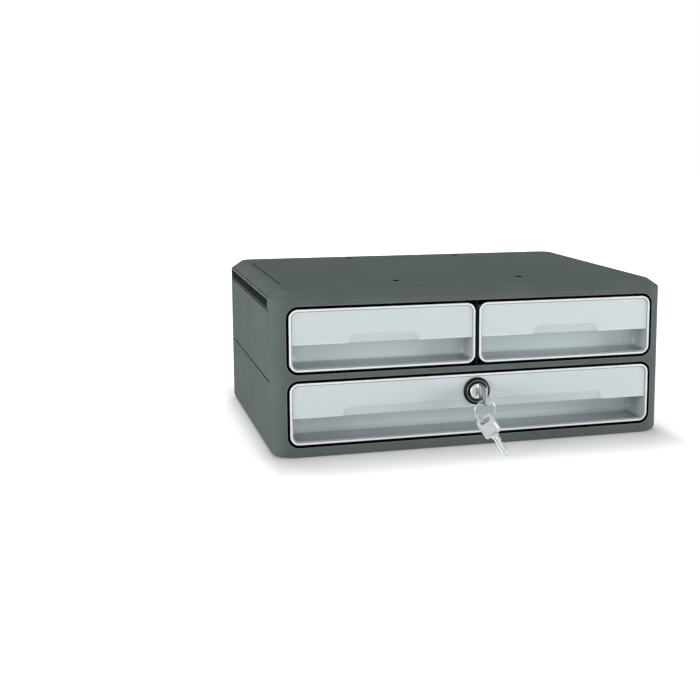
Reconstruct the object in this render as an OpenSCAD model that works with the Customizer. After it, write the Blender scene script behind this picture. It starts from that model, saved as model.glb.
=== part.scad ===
// Desktop drawer cabinet: a housing of three stacked shells behind a one-piece front frame, two small
// drawers above one wide locking drawer, and the lock with its two keys.
// Millimetres. X to the right, Y to the back, Z up. The origin is under the middle of the housing,
// on the surface that it stands on.

/* [Housing] */
// Width over the side walls
case_w = 369; // [340:1:420]
// Depth from the front frame to the rear wall
case_d = 275; // [260:1:320]
// Height from the table to the top
case_h = 146; // [136:1:170]
// Thickness of the side and rear walls
wall = 2.5; // [2:0.1:3]
// Thickness of the floor
floor_t = 2.5; // [2:0.1:3.5]
// Thickness of the top
top_t = 2.8; // [2:0.1:3.5]
// Radius of the upright corners
corner_r = 17; // [12:0.5:22]
// Width of the slope along the left and right edges of the top
bevel_side = 11; // [6:0.5:14]
// Width of the slope along the front and rear edges of the top
bevel_front = 6; // [3:0.5:9]
// Height of that slope
bevel_h = 7.4; // [5:0.1:9]
// Radius of the lower side edges
edge_r = 4.3; // [2:0.1:6]
// Distance of the middle seam below the top of the lower opening
seam_drop = 3.3; // [3.1:0.1:3.4]
// Height of the top cover
cover_h = 18.6; // [17:0.1:20]
// Height of the groove that marks a seam
seam_gap = 1; // [0.6:0.1:2]
// Depth of that groove
seam_depth = 1.2; // [0.5:0.1:1.6]
// How far the feet stand out below the floor
foot_proud = 0.5; // [0.4:0.1:3]
// Radius of a foot
foot_r = 8; // [5:0.5:11]
// Distance of a foot from the side wall
foot_inset = 30; // [22:1:50]

/* [Front frame] */
// Depth of the frame
frame_d = 17; // [14:0.5:22]
// Thickness of its face
frame_t = 3; // [2:0.1:4]
// Width of the frame beside the openings
side_rail = 12.7; // [9.5:0.1:13]
// Height of the frame below the lower opening
bottom_rail = 9.4; // [8:0.1:14]
// Height of the frame between the openings
mid_rail = 5.8; // [5.8:0.1:8]
// Height of the frame above the upper opening
top_rail = 13.3; // [13:0.1:18]
// Thickness of the partition between the small drawers
post_t = 1.9; // [1.5:0.1:3]
// Thickness of the shelf
shelf_t = 2.2; // [1.8:0.1:2.6]

/* [Drawers] */
// Gap round a drawer front
front_gap = 2.1; // [1:0.1:2.5]
// Gap between a small drawer front and the partition
post_gap = 0.95; // [0.6:0.05:1.5]
// Corner radius of a drawer front
front_r = 8; // [6:0.5:11]
// Width of the raised rim
rim_w = 2.4; // [1.8:0.1:3.2]
// How far the rim stands out of the plate
rim_h = 1; // [0.5:0.1:1.5]
// Thickness of the plate
plate_t = 2.2; // [1.8:0.1:3]
// Height of a drawer front above the lip of its finger recess
plate_h = 31.3; // [30:0.1:34]
// Depth of the finger recess of a small drawer
small_recess_d = 25; // [18:0.5:32]
// Depth of the finger recess of the wide drawer
wide_recess_d = 34; // [24:0.5:40]
// Radius of the recess's inner upright corners
recess_r = 10; // [4:0.5:14]
// Wall of the finger recess
recess_t = 1.8; // [1.2:0.1:2.4]
// Width of the thumb scoop on a small drawer
small_scoop_w = 64; // [40:1:90]
// Width of the thumb scoop on the wide drawer
wide_scoop_w = 246; // [160:1:280]
// Height of a thumb scoop
scoop_h = 8; // [5:0.1:10]
// Wall of a tray
tray_t = 1.8; // [1.4:0.1:2.4]
// Radius of a tray's inner corners
tray_r = 5; // [3:0.5:5.5]
// Gap between a tray and the side of its opening
tray_side_gap = 6; // [4:0.1:8]
// Height of a tray below the top of its drawer front
tray_drop = 3; // [2.5:0.1:10]
// Length of a tray behind the frame's face
tray_l = 262; // [240:1:264]
// How far a drawer pulls out
travel = 190; // [120:1:210]

/* [Lock and keys] */
// Distance of the lock's axis below the shelf
lock_drop = 18.1; // [17.9:0.1:18.3]
// Radius of the round surround
bezel_r = 12.5; // [11:0.1:14]
// Radius of the lock barrel
barrel_r = 8.2; // [8:0.1:9]
// Radius of the plug
plug_r = 6.8; // [6:0.1:7]
// Length of the barrel
barrel_l = 21; // [18:0.5:26]
// Reach of the cam from the lock's axis
cam_reach = 17.4; // [17:0.1:17.5]
// Overall length of a key
key_l = 41; // [40:0.5:46]
// Length of the key's bow
bow_l = 19.5; // [15:0.5:20.5]
// Width of the key's bow
bow_w = 16.5; // [14:0.5:18]
// Thickness of a key
key_t = 1.8; // [1.4:0.1:2]
// Width of the key's blade
blade_w = 5.6; // [4.5:0.1:6.5]
// Length of the slot in the bow
bow_slot_l = 9.5; // [9:0.1:10]
// Height of the slot in the bow
bow_slot_h = 3.6; // [3.4:0.1:4]
// Radius of the key ring to the middle of its wire
ring_r = 9.65; // [9:0.05:10]
// Radius of the ring's wire
wire_r = 0.7; // [0.5:0.05:0.75]

/* [Clearances] */
// Between a tray and its rails
glide_gap = 0.3; // [0.2:0.05:0.6]
// Between parts that are fitted together
fit_gap = 0.2; // [0.1:0.05:0.3]
// Round a screw in its hole
screw_gap = 0.1; // [0.05:0.05:0.3]
// Round the turning plug
plug_gap = 0.08; // [0.05:0.01:0.1]
// Between the ring and the key that it hangs from
ring_gap = 0.3; // [0.2:0.05:0.5]
// Round the key's blade in its keyway
keyway_gap = 0.3; // [0.2:0.05:0.5]

/* [Hidden] */
$fn = 64;
half_w = case_w / 2;
front_y = -case_d / 2;
rear_y = case_d / 2;
joint_y = front_y + frame_d;
face_back = front_y + frame_t;
cover_z = case_h - cover_h;
floor_top = foot_proud + floor_t;
bevel_low = 1.6;

// Openings of the front frame
open_half = half_w - side_rail;
open_h = (case_h - bottom_rail - mid_rail - top_rail) / 2;
low_open_z = bottom_rail;
up_open_z = low_open_z + open_h + mid_rail;
opening_r = front_r + front_gap;

// Collars that register one shell in the next
lip_up = 3.4;
lip_down = 5;
lip_t = 1.4;
seam_z = low_open_z + open_h - seam_drop;
shelf_z = seam_z + lip_up;
shelf_top = shelf_z + shelf_t;
shelf_rear = 4.8;
nose_sunk = 1.2;
rail_w = 10;
rail_in = 34;
rail_front = 4;
rail_rear = 12;

// Drawer fronts
front_h = open_h - 2 * front_gap;
lip_h = front_h - plate_h;
low_front_z = low_open_z + front_gap;
up_front_z = up_open_z + front_gap;
wide_w = 2 * (open_half - front_gap);
small_in = post_t / 2 + post_gap;
small_w = open_half - front_gap - small_in;
small_x = small_in + small_w / 2;
plate_y = front_y + rim_h;
plate_back = plate_y + plate_t;
scoop_top_depth = 0.3;
scoop_lip_depth = 1.1;
scoop_flare = 5.5;
boss_r = 3.4;
boss_from_top = 10;
boss_from_side = 16;

// Trays
tray_y = plate_back + fit_gap;
tray_rear = face_back + tray_l;
tray_lift = 1.2;
tray_front_back = tray_y + tray_t;
wide_tray_half = open_half - tray_side_gap;
tray_post_gap = 0.3;
small_tray_in = small_in + tray_post_gap;
lug_t = 4;
lug_h = 12;
lug_out = 3;
stop_t = 4;
stop_w = side_rail - 0.6;
lug_y = face_back + stop_t + glide_gap + travel;
up_lug_z = up_front_z + 14;
low_lug_z = low_front_z + 28;

// Stacking recesses in the top
stack_x = 60;
stack_front = 56;
stack_rear = 19;
stack_r = 3;
stack_d = 5;
stack_boss_t = 2.4;

// Groove in the top, near the left edge
line_x = 17.2;
line_front = 51.5;
line_l = 176;
line_w = 1;
line_d = 0.8;

// Depth of the pocket that a foot sits in
foot_seat = 1;

// Grip slots in the sides of the cover
slot_bottom = cover_z + seam_gap + 0.6;
slot_top = case_h - bevel_h - 0.4;
slot_front = front_y + 23;
slot_rear = rear_y - 19.5;
slot_skin = 0.6;
strip_sunk = 0.4;
rib_d = 0.6;
rib_n = 4;

// Screws
screw_r = 1.4;
screw_head_r = 2.8;
screw_head_h = 1.2;
washer_head_h = 1.8;
screw_sunk = 0.1;
screw_l = 9;
washer_head_r = 4.8;
post_in = 6.3;
post_r = 3.2;
ear_t = 3;
ear_lap = 0.4;
low_post_up = 23.5;
up_post_drop = 30;
low_post_z = foot_proud + low_post_up;
up_post_z = case_h - up_post_drop;
tab_x = 110;
tab_w = 16;
tab_up = 9;
tab_t = 3;
tab_hole_up = tab_up / 2 + 1;
keeper_head_r = 2.4;
front_screw_l = 2.8;

// Lock
lock_z = shelf_z - lock_drop;
bezel_t = 3.1;
bezel_y = plate_y - bezel_t;
bezel_bore = plug_r + 0.5;
bezel_ledge = 2;
barrel_y = bezel_y + bezel_ledge;
barrel_end = barrel_y + barrel_l;
barrel_wall_bore = plug_r + plug_gap;
plug_y = bezel_y - 0.3;
plug_end = barrel_end + 0.4;
tang = 5;
cam_t = 2;
cam_hub_r = 7;
cam_head_r = 4;
cam_w = 9;
nut_r = 10.6;
nut_t = 3;
keeper_t = 1.5;
keeper_gap = 0.9;
keeper_w = 34;
keeper_drop = 3.4;
keeper_foot = 9;
keeper_screw_x = 11;

// Keys
slot_from_end = 2.4;
slot_centre = slot_from_end + bow_slot_h / 2;
key_slot_y = plug_y - 20.2;
keyway_l = 17;
tip_l = 3;
ring_yaw = 5;
ring_z = lock_z - bow_slot_l / 2 + wire_r + ring_gap - ring_r;
spare_lean = 42;
spare_tilt = 20.7;
spare_twist = -35;
spare_shift = 0.5;

// A rectangle with round corners, centred
module round_rect(w, h, r) {
    square([w - 2 * r, h], center = true);
    square([w, h - 2 * r], center = true);
    for (x = [-1, 1], y = [-1, 1])
        translate([x * (w / 2 - r), y * (h / 2 - r)]) circle(r = r);
}

// A rectangle with round corners from a to b, h high above low
module round_rect_on(a, b, low, h, r) {
    translate([(a + b) / 2, low + h / 2]) round_rect(b - a, h, r);
}

// The housing's outline seen from above, drawn in by in_x and in_y
module plan(in_x, in_y, r) {
    round_rect(case_w - 2 * in_x, case_d - 2 * in_y, r);
}

// A section of the housing, symmetrical about the middle: lower corners of radius r, upper corners cut
// off over slope_w by slope_h
module section(half, low, high, r, slope_w, slope_h) {
    polygon([[-half, low + r], [half, low + r], [half, high - slope_h], [half - slope_w, high],
        [-half + slope_w, high], [-half, high - slope_h]]);
    if (r > 0) {
        translate([-half + r, low]) square([2 * (half - r), 2 * r]);
        for (s = [-1, 1]) translate([s * (half - r), low + r]) circle(r = r);
    }
}

// The closed outer form of the housing
module outer_form() {
    intersection() {
        linear_extrude(case_h + 1) plan(0, 0, corner_r);
        rotate([90, 0, 0]) linear_extrude(2 * case_d, center = true)
            section(half_w, foot_proud, case_h, edge_r, bevel_side, bevel_h);
        rotate([90, 0, 90]) linear_extrude(2 * case_w, center = true)
            section(case_d / 2, foot_proud, case_h, 0, bevel_front, bevel_h);
    }
}

// The hollow inside it
module inner_form() {
    slope_h = bevel_h + bevel_low - top_t;
    slope = slope_h / bevel_h;
    intersection() {
        linear_extrude(case_h) plan(wall, wall, corner_r - wall);
        rotate([90, 0, 0]) linear_extrude(2 * case_d, center = true)
            section(half_w - wall, floor_top, case_h - top_t, edge_r - wall / 2, bevel_side * slope, slope_h);
        rotate([90, 0, 90]) linear_extrude(2 * case_w, center = true)
            section(case_d / 2 - wall, floor_top, case_h - top_t, 0, bevel_front * slope, slope_h);
    }
}

// A layer of space behind the front frame
module behind_frame(z0, z1) {
    translate([-case_w, joint_y, z0]) cube([2 * case_w, 2 * case_d, z1 - z0]);
}

// A ring that follows the housing's outline
module outline_ring(z0, z1, out, in) {
    translate([0, 0, z0]) linear_extrude(z1 - z0) difference() {
        plan(out, out, max(corner_r - out, 1));
        plan(in, in, corner_r - in);
    }
}

// The collar at the top of a shell, which stands up inside the shell above
module collar(z) {
    intersection() {
        union() {
            outline_ring(z - lip_down, z, wall - 0.5, wall + fit_gap + lip_t);
            outline_ring(z - 0.5, z + lip_up, wall + fit_gap, wall + fit_gap + lip_t);
        }
        translate([-case_w, joint_y + fit_gap, 0]) cube([2 * case_w, 2 * case_d, 2 * case_h]);
    }
}

// The groove along a seam
module seam_groove(z) {
    outline_ring(z, z + seam_gap, -1, seam_depth);
}

// A screw tab inside the rear wall, above a seam
module rear_tab(x, z) {
    translate([x, rear_y - wall - fit_gap, z]) rotate([90, 0, 0]) difference() {
        translate([-tab_w / 2, -lip_down, 0]) cube([tab_w, lip_down + tab_up, tab_t]);
        translate([0, tab_hole_up, -1]) cylinder(r = screw_r + screw_gap, h = tab_t + 2);
    }
}

module rear_screw_hole(x, z) {
    translate([x, rear_y, z + tab_hole_up]) rotate([90, 0, 0]) {
        translate([0, 0, -1]) cylinder(r = screw_r + screw_gap, h = wall + 2);
        translate([0, 0, -1]) cylinder(r = screw_head_r + fit_gap, h = 1 + screw_head_h + screw_sunk);
    }
}

// An ear inside the front edge of a shell, for a screw into the frame
module ear(side, z) {
    ear_w = post_in + post_r - wall;
    ear_x = half_w - wall + ear_lap - ear_w / 2;
    translate([side * ear_x, joint_y + fit_gap + ear_t / 2, z])
        rotate([90, 0, 0]) difference() {
            cube([ear_w + ear_lap / 2, 2 * post_r + 2, ear_t], center = true);
            translate([side * (half_w - post_in - ear_x), 0, 0])
                cylinder(r = screw_r + screw_gap, h = 2 * ear_t, center = true);
        }
}

// A foot near each corner, and one under the middle of the wide floor
module foot_places() {
    for (x = [-1, 1], y = [-1, 1])
        translate([x * (half_w - foot_inset), y * (case_d / 2 - foot_inset), 0]) children();
    children();
}

module lower_shell() color([0.40, 0.44, 0.42]) {
    difference() {
        intersection() {
            outer_form();
            behind_frame(0, seam_z);
        }
        inner_form();
        foot_places() translate([0, 0, -1]) cylinder(r = foot_r + fit_gap, h = 1 + foot_proud + foot_seat);
    }
    collar(seam_z);
    for (s = [-1, 1]) {
        rear_tab(s * tab_x, seam_z);
        ear(s, low_post_z);
    }
}

module middle_shell() color([0.40, 0.44, 0.42]) {
    difference() {
        intersection() {
            outline_ring(seam_z, cover_z, 0, wall);
            behind_frame(0, case_h);
        }
        seam_groove(seam_z);
        for (s = [-1, 1]) rear_screw_hole(s * tab_x, seam_z);
    }
    collar(cover_z);
    for (s = [-1, 1]) {
        rear_tab(s * tab_x, cover_z);
        ear(s, up_post_z);
    }
}

module stack_places() {
    for (x = [-1, 1], y = [front_y + stack_front, rear_y - stack_rear])
        translate([x * stack_x, y, 0]) children();
}

module top_cover() color([0.36, 0.39, 0.38]) {
    difference() {
        union() {
            difference() {
                intersection() {
                    outer_form();
                    behind_frame(cover_z, case_h + 1);
                }
                inner_form();
            }
            stack_places() translate([0, 0, case_h - stack_d - stack_boss_t])
                cylinder(r = stack_r + stack_boss_t, h = stack_d);
        }
        seam_groove(cover_z);
        for (s = [-1, 1]) {
            rear_screw_hole(s * tab_x, cover_z);
            translate([s * (half_w - wall + slot_skin + wall), (slot_front + slot_rear) / 2,
                (slot_bottom + slot_top) / 2])
                cube([2 * wall, slot_rear - slot_front, slot_top - slot_bottom], center = true);
        }
        stack_places() translate([0, 0, case_h - stack_d]) cylinder(r = stack_r, h = stack_d + 1);
        translate([line_x - half_w - line_w / 2, front_y + line_front, case_h - line_d])
            cube([line_w, line_l, 2]);
    }
}

module front_frame() color([0.39, 0.41, 0.40]) {
    intersection() {
        difference() {
            outer_form();
            intersection() {
                inner_form();
                translate([-case_w, face_back, 0]) cube([2 * case_w, case_d, case_h]);
            }
            for (z = [low_open_z, up_open_z])
                translate([0, face_back + 1, z + open_h / 2]) rotate([90, 0, 0])
                    linear_extrude(frame_t + 2) round_rect(2 * open_half, open_h, opening_r);
        }
        translate([-case_w, front_y - 1, 0]) cube([2 * case_w, frame_d + 1, 2 * case_h]);
    }
    intersection() {
        linear_extrude(case_h) plan(wall / 2, wall / 2, corner_r - wall / 2);
        for (s = [-1, 1]) {
            // Blocks that the lugs of the trays meet when the drawers are fully out
            for (z = [low_lug_z, up_lug_z])
                translate([s * (half_w - stop_w / 2), face_back + stop_t / 2 - 0.3, z + lug_h / 2])
                    cube([stop_w, stop_t + 0.6, lug_h], center = true);
            // Posts for the screws from behind
            for (z = [low_post_z, up_post_z])
                translate([s * (half_w - post_in), joint_y, z]) rotate([90, 0, 0]) difference() {
                    cylinder(r = post_r, h = frame_d - frame_t + 0.5);
                    translate([0, 0, -1]) cylinder(r = screw_r + screw_gap, h = screw_l);
                }
        }
    }
}

module shelf() color([0.40, 0.43, 0.42]) {
    inner = wall + fit_gap;
    translate([0, 0, shelf_z]) linear_extrude(shelf_t) difference() {
        plan(inner, inner, corner_r - inner);
        translate([-case_w, rear_y - shelf_rear - tab_t]) square([2 * case_w, case_d]);
        translate([-case_w, face_back - case_d]) square([2 * case_w, case_d + fit_gap]);
    }
}

module partition() color([0.30, 0.33, 0.32]) {
    nose_low = up_open_z + fit_gap;
    nose_high = up_open_z + open_h - fit_gap;
    nose_y = front_y + nose_sunk;
    body_y = face_back + fit_gap;
    back = rear_y - wall - lip_t - 2 * fit_gap;
    under_top = case_h - top_t - fit_gap;
    slope_low = case_h - bevel_h - bevel_low;
    translate([post_t / 2, 0, 0]) rotate([90, 0, -90]) linear_extrude(post_t)
        polygon([[-nose_y, nose_low], [-nose_y, nose_high], [-body_y, nose_high],
            [-body_y, slope_low], [-front_y - wall - bevel_front, under_top],
            [-rear_y + wall + bevel_front, under_top], [-back, slope_low], [-back, shelf_top],
            [-body_y, shelf_top], [-body_y, nose_low]]);
}

// A ribbed strip on the floor of a grip slot; side is -1 or 1
module grip_strip(side) {
    h = slot_top - slot_bottom - 2 * fit_gap;
    l = slot_rear - slot_front - 2 * fit_gap;
    back = half_w - wall + slot_skin;
    face = half_w - strip_sunk;
    pitch = h / rib_n;
    translate([0, slot_front + fit_gap, slot_bottom + fit_gap]) mirror([side < 0 ? 1 : 0, 0, 0]) {
        translate([back, 0, 0]) cube([face - rib_d - back, l, h]);
        for (i = [0 : rib_n - 1])
            translate([back, 0, (i + 0.25) * pitch]) cube([face - back, l, pitch / 2]);
    }
}

module grip_strip_left() color([0.10, 0.12, 0.11]) grip_strip(-1);
module grip_strip_right() color([0.10, 0.12, 0.11]) grip_strip(1);

module rail(x, z0, z1) {
    translate([x - rail_w / 2, joint_y + rail_front, z0])
        cube([rail_w, case_d - frame_d - rail_front - rail_rear, z1 - z0]);
}

module glide_rails() color([0.75, 0.76, 0.76]) {
    for (s = [-1, 1]) {
        rail(s * (wide_tray_half - rail_in), floor_top, low_open_z + tray_lift - glide_gap);
        rail(s * (wide_tray_half - rail_in), shelf_top, up_open_z + tray_lift - glide_gap);
        rail(s * rail_in, shelf_top, up_open_z + tray_lift - glide_gap);
    }
}

// A screw that points down; its head's seat is at z = 0
module screw(l, head_r, head_h) {
    translate([0, 0, -l]) cylinder(r = screw_r, h = l + 0.2);
    difference() {
        cylinder(r = head_r, h = head_h);
        translate([0, 0, head_h]) {
            cube([0.8, 3.4, 1.2], center = true);
            cube([3.4, 0.8, 1.2], center = true);
        }
    }
}

module shell_screws() color([0.62, 0.63, 0.64])
    for (s = [-1, 1], z = [seam_z, cover_z])
        translate([s * tab_x, rear_y - screw_sunk - screw_head_h, z + tab_hole_up]) rotate([-90, 0, 0])
            screw(wall + tab_t, screw_head_r, screw_head_h);

module frame_screws() color([0.62, 0.63, 0.64])
    for (s = [-1, 1], z = [low_post_z, up_post_z])
        translate([s * (half_w - post_in), joint_y + fit_gap + ear_t, z]) rotate([-90, 0, 0])
            screw(screw_l, screw_head_r, screw_head_h);

module rubber_feet() color([0.08, 0.08, 0.08])
    foot_places() cylinder(r = foot_r, h = foot_proud + foot_seat);

// Upright plate under the shelf that the cam turns up behind
module lock_keeper() color([0.66, 0.67, 0.68]) {
    y = plug_end - keeper_gap - keeper_t;
    difference() {
        union() {
            translate([-keeper_w / 2, y, shelf_z - keeper_drop]) cube([keeper_w, keeper_t, keeper_drop]);
            translate([-keeper_w / 2, y - keeper_foot, shelf_z - keeper_t])
                cube([keeper_w, keeper_foot + keeper_t, keeper_t]);
        }
        for (s = [-1, 1]) translate([s * keeper_screw_x, y - keeper_foot / 2, shelf_z - keeper_t - 1])
            cylinder(r = screw_r + screw_gap, h = keeper_t + 2);
    }
}

module keeper_screws() color([0.62, 0.63, 0.64]) {
    y = plug_end - keeper_gap - keeper_t;
    for (s = [-1, 1]) translate([s * keeper_screw_x, y - keeper_foot / 2, shelf_z - keeper_t])
        mirror([0, 0, 1]) difference() {
            cylinder(r = keeper_head_r, h = screw_head_h);
            translate([0, 0, 1]) cube([0.7, 3, 1], center = true);
        }
}

// An upright outline with a level top at y = 0 and round corners at y = h
module cup(w, h, r) {
    translate([-w / 2, 0]) square([w, h - r]);
    translate([-w / 2 + r, 0]) square([w - 2 * r, h]);
    for (s = [-1, 1]) translate([s * (w / 2 - r), h - r]) circle(r = r);
}

// The hollow for the fingers, w wide and h high above z = 0, between two depths; grow adds a wall
module recess_space(w, h, y0, y1, grow) {
    r_low = front_r - rim_w;
    intersection() {
        translate([0, y0, h + grow]) rotate([-90, 0, 0]) linear_extrude(y1 - y0 + grow)
            cup(w + 2 * grow, h + 2 * grow, r_low + grow);
        translate([0, y1 + grow - case_d / 2, -2 * grow]) linear_extrude(h + 4 * grow)
            round_rect(w + 2 * grow, case_d, recess_r + grow);
    }
}

// A drawer front, with its lower edge at z0: rim, sunk plate, thumb scoop, finger recess and screw bosses
module drawer_front(w, z0, recess_d, scoop_w) {
    in_w = w - 2 * rim_w;
    in_h = front_h - 2 * rim_w;
    recess_back = front_y + recess_d;
    lean = atan((scoop_lip_depth - scoop_top_depth) / scoop_h);
    difference() {
        union() {
            translate([0, plate_back, z0 + front_h / 2]) rotate([90, 0, 0])
                linear_extrude(rim_h + plate_t) round_rect(w, front_h, front_r);
            translate([0, 0, z0 + rim_w])
                recess_space(in_w, lip_h - rim_w, plate_back - 0.5, recess_back, recess_t);
            boss_places(w, z0) cylinder(r = boss_r, h = tray_front_back - plate_back + 0.5);
        }
        // The sunk face of the plate
        translate([0, plate_y, z0 + front_h / 2]) rotate([90, 0, 0])
            linear_extrude(rim_h + 5) round_rect(in_w, in_h, front_r - rim_w);
        // The finger recess
        translate([0, 0, z0 + rim_w]) recess_space(in_w, lip_h - rim_w, front_y - 5, recess_back, 0);
        // The thumb scoop, deepest at the lip
        translate([0, plate_y + scoop_lip_depth, z0 + lip_h]) rotate([90 + lean, 0, 0])
            linear_extrude(5) scoop_outline(scoop_w / 2);
        translate([0, 1, 0]) boss_places(w, z0) cylinder(r = screw_r + screw_gap, h = 4);
    }
}

// Half of it is w wide; its upper corners are rounded off by steps
module scoop_outline(w) {
    for (s = [-1, 1])
        polygon([[-s, -2], [s * w, -2], [s * (w - 1), scoop_h - 4], [s * (w - 2.5), scoop_h - 1],
            [s * (w - scoop_flare), scoop_h], [-s, scoop_h]]);
}

// Where the screws join a front to its tray; the children point forwards from the tray's inner face
module boss_places(w, z0) {
    for (s = [-1, 1])
        translate([s * (w / 2 - boss_from_side), tray_front_back, z0 + front_h - boss_from_top])
            rotate([90, 0, 0]) children();
}

// A tray, stepped over the finger recess, with round inner corners; x0 to x1 wide, open above
module tray(x0, x1, z0, front_z, recess_d) {
    z1 = front_z + front_h - tray_drop;
    bottom = z0 + tray_lift;
    step_z = front_z + lip_h + recess_t + fit_gap;
    step_y = front_y + recess_d + recess_t + fit_gap;
    inner_rear = tray_rear - tray_t;
    rotate_out = [90, 0, 90];
    difference() {
        translate([x0, 0, 0]) rotate(rotate_out) linear_extrude(x1 - x0)
            polygon([[tray_y, step_z], [tray_y, z1], [tray_rear, z1], [tray_rear, bottom],
                [step_y, bottom], [step_y, step_z]]);
        intersection() {
            translate([0, 0, bottom]) linear_extrude(2 * front_h)
                translate([(x0 + x1) / 2, 0])
                    round_rect_on(tray_t - (x1 - x0) / 2, (x1 - x0) / 2 - tray_t, tray_front_back,
                        inner_rear - tray_front_back, tray_r);
            translate([x0, 0, 0]) rotate(rotate_out) linear_extrude(x1 - x0) {
                round_rect_on(step_y + tray_t, inner_rear, bottom + tray_t, 2 * front_h, tray_r);
                translate([tray_front_back, step_z + tray_t])
                    square([inner_rear - tray_front_back, 2 * front_h]);
            }
            translate([0, rear_y, 0]) rotate([90, 0, 0]) linear_extrude(case_d)
                round_rect_on(x0 + tray_t, x1 - tray_t, bottom + tray_t, 2 * front_h, tray_r);
        }
    }
}

// A lug on the side of a tray, which meets the back of the frame when the drawer is fully out
module lug(x, side, z) {
    reach = tray_side_gap + lug_out;
    translate([side > 0 ? x - 0.5 : x - reach, lug_y, z]) cube([reach + 0.5, lug_t, lug_h]);
}

module boss_holes(w, z0) {
    translate([0, 1, 0]) boss_places(w, z0) cylinder(r = boss_r + fit_gap, h = tray_t + 2);
}

module front_screws(w, z0) {
    boss_places(w, z0) mirror([0, 0, 1]) screw(front_screw_l, washer_head_r, washer_head_h);
}

module small_tray(side) {
    x0 = side < 0 ? -wide_tray_half : small_tray_in;
    x1 = side < 0 ? -small_tray_in : wide_tray_half;
    difference() {
        union() {
            tray(x0, x1, up_open_z, up_front_z, small_recess_d);
            lug(side * wide_tray_half, side, up_lug_z);
        }
        translate([side * small_x, 0, 0]) boss_holes(small_w, up_front_z);
    }
}

module upper_left_front() color([0.81, 0.85, 0.86])
    translate([-small_x, 0, 0]) drawer_front(small_w, up_front_z, small_recess_d, small_scoop_w);
module upper_right_front() color([0.81, 0.85, 0.86])
    translate([small_x, 0, 0]) drawer_front(small_w, up_front_z, small_recess_d, small_scoop_w);
module upper_left_tray() color([0.70, 0.74, 0.75]) small_tray(-1);
module upper_right_tray() color([0.70, 0.74, 0.75]) small_tray(1);
module upper_left_screws() color([0.62, 0.63, 0.64])
    translate([-small_x, 0, 0]) front_screws(small_w, up_front_z);
module upper_right_screws() color([0.62, 0.63, 0.64])
    translate([small_x, 0, 0]) front_screws(small_w, up_front_z);

module lower_front() color([0.81, 0.85, 0.86])
    difference() {
        drawer_front(wide_w, low_front_z, wide_recess_d, wide_scoop_w);
        translate([0, front_y - 2, lock_z]) rotate([-90, 0, 0]) cylinder(r = barrel_r + fit_gap, h = 12);
    }

module lower_tray() color([0.70, 0.74, 0.75])
    difference() {
        union() {
            tray(-wide_tray_half, wide_tray_half, low_open_z, low_front_z, wide_recess_d);
            for (s = [-1, 1]) lug(s * wide_tray_half, s, low_lug_z);
        }
        boss_holes(wide_w, low_front_z);
        translate([0, tray_y - 1, lock_z]) rotate([-90, 0, 0])
            cylinder(r = barrel_r + fit_gap, h = tray_t + 2);
    }

module lower_screws() color([0.62, 0.63, 0.64]) front_screws(wide_w, low_front_z);

// Turns a form drawn along +Z into one that runs back along the lock's axis from y
module on_lock_axis(y) {
    translate([0, y, lock_z]) rotate([-90, 0, 0]) children();
}

// Round surround with one raised ring; its back lies on the plate
module lock_bezel() color([0.06, 0.06, 0.06])
    on_lock_axis(bezel_y) rotate_extrude()
        polygon([[bezel_bore, 0.5], [bezel_bore + 0.5, 0.1], [bezel_r - 3.2, 0], [bezel_r - 2.6, 0.35],
            [bezel_r - 1.9, 0.35], [bezel_r - 1.4, 0.7], [bezel_r - 0.4, 1.5], [bezel_r, 2.2],
            [bezel_r, bezel_t], [barrel_r + fit_gap, bezel_t], [barrel_r + fit_gap, bezel_ledge],
            [bezel_bore, bezel_ledge]]);

module lock_barrel() color([0.60, 0.61, 0.63])
    on_lock_axis(barrel_y) difference() {
        cylinder(r = barrel_r, h = barrel_l);
        translate([0, 0, -1]) cylinder(r = barrel_wall_bore, h = barrel_l + 2);
    }

module lock_nut() color([0.60, 0.61, 0.63])
    on_lock_axis(tray_front_back) rotate([0, 0, 30]) difference() {
        cylinder(r = nut_r, h = nut_t, $fn = 6);
        translate([0, 0, -1]) cylinder(r = barrel_r + screw_gap, h = nut_t + 2);
    }

module lock_plug() color([0.78, 0.78, 0.78])
    on_lock_axis(plug_y) difference() {
        union() {
            rotate_extrude() polygon([[0, 0], [plug_r - 0.8, 0], [plug_r, 0.6],
                [plug_r, plug_end - plug_y], [0, plug_end - plug_y]]);
            translate([-tang / 2, -tang / 2, plug_end - plug_y - 1]) cube([tang, tang, cam_t + 1]);
        }
        translate([-key_t / 2 - keyway_gap, -blade_w / 2 - keyway_gap, -1])
            cube([key_t + 2 * keyway_gap, blade_w + 2 * keyway_gap, keyway_l + 1]);
        translate([0, 0, plug_end - plug_y - 1.5]) cylinder(r = screw_r + screw_gap, h = cam_t + 4);
    }

// The latch arm; it points to the right when the drawer is unlocked
module lock_cam() color([0.66, 0.67, 0.68])
    on_lock_axis(plug_end) difference() {
        union() {
            cylinder(r = cam_hub_r, h = cam_t);
            translate([0, -cam_w / 2, 0]) cube([cam_reach - 1, cam_w, cam_t]);
            translate([cam_reach - 2, -cam_w / 2 + 1, 0]) cube([2, cam_w - 2, cam_t]);
        }
        translate([-tang / 2 - screw_gap, -tang / 2 - screw_gap, -1])
            cube([tang + 2 * screw_gap, tang + 2 * screw_gap, cam_t + 2]);
    }

module cam_screw() color([0.62, 0.63, 0.64])
    on_lock_axis(plug_end + cam_t) screw(cam_t + 1.2, cam_head_r, washer_head_h);

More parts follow.
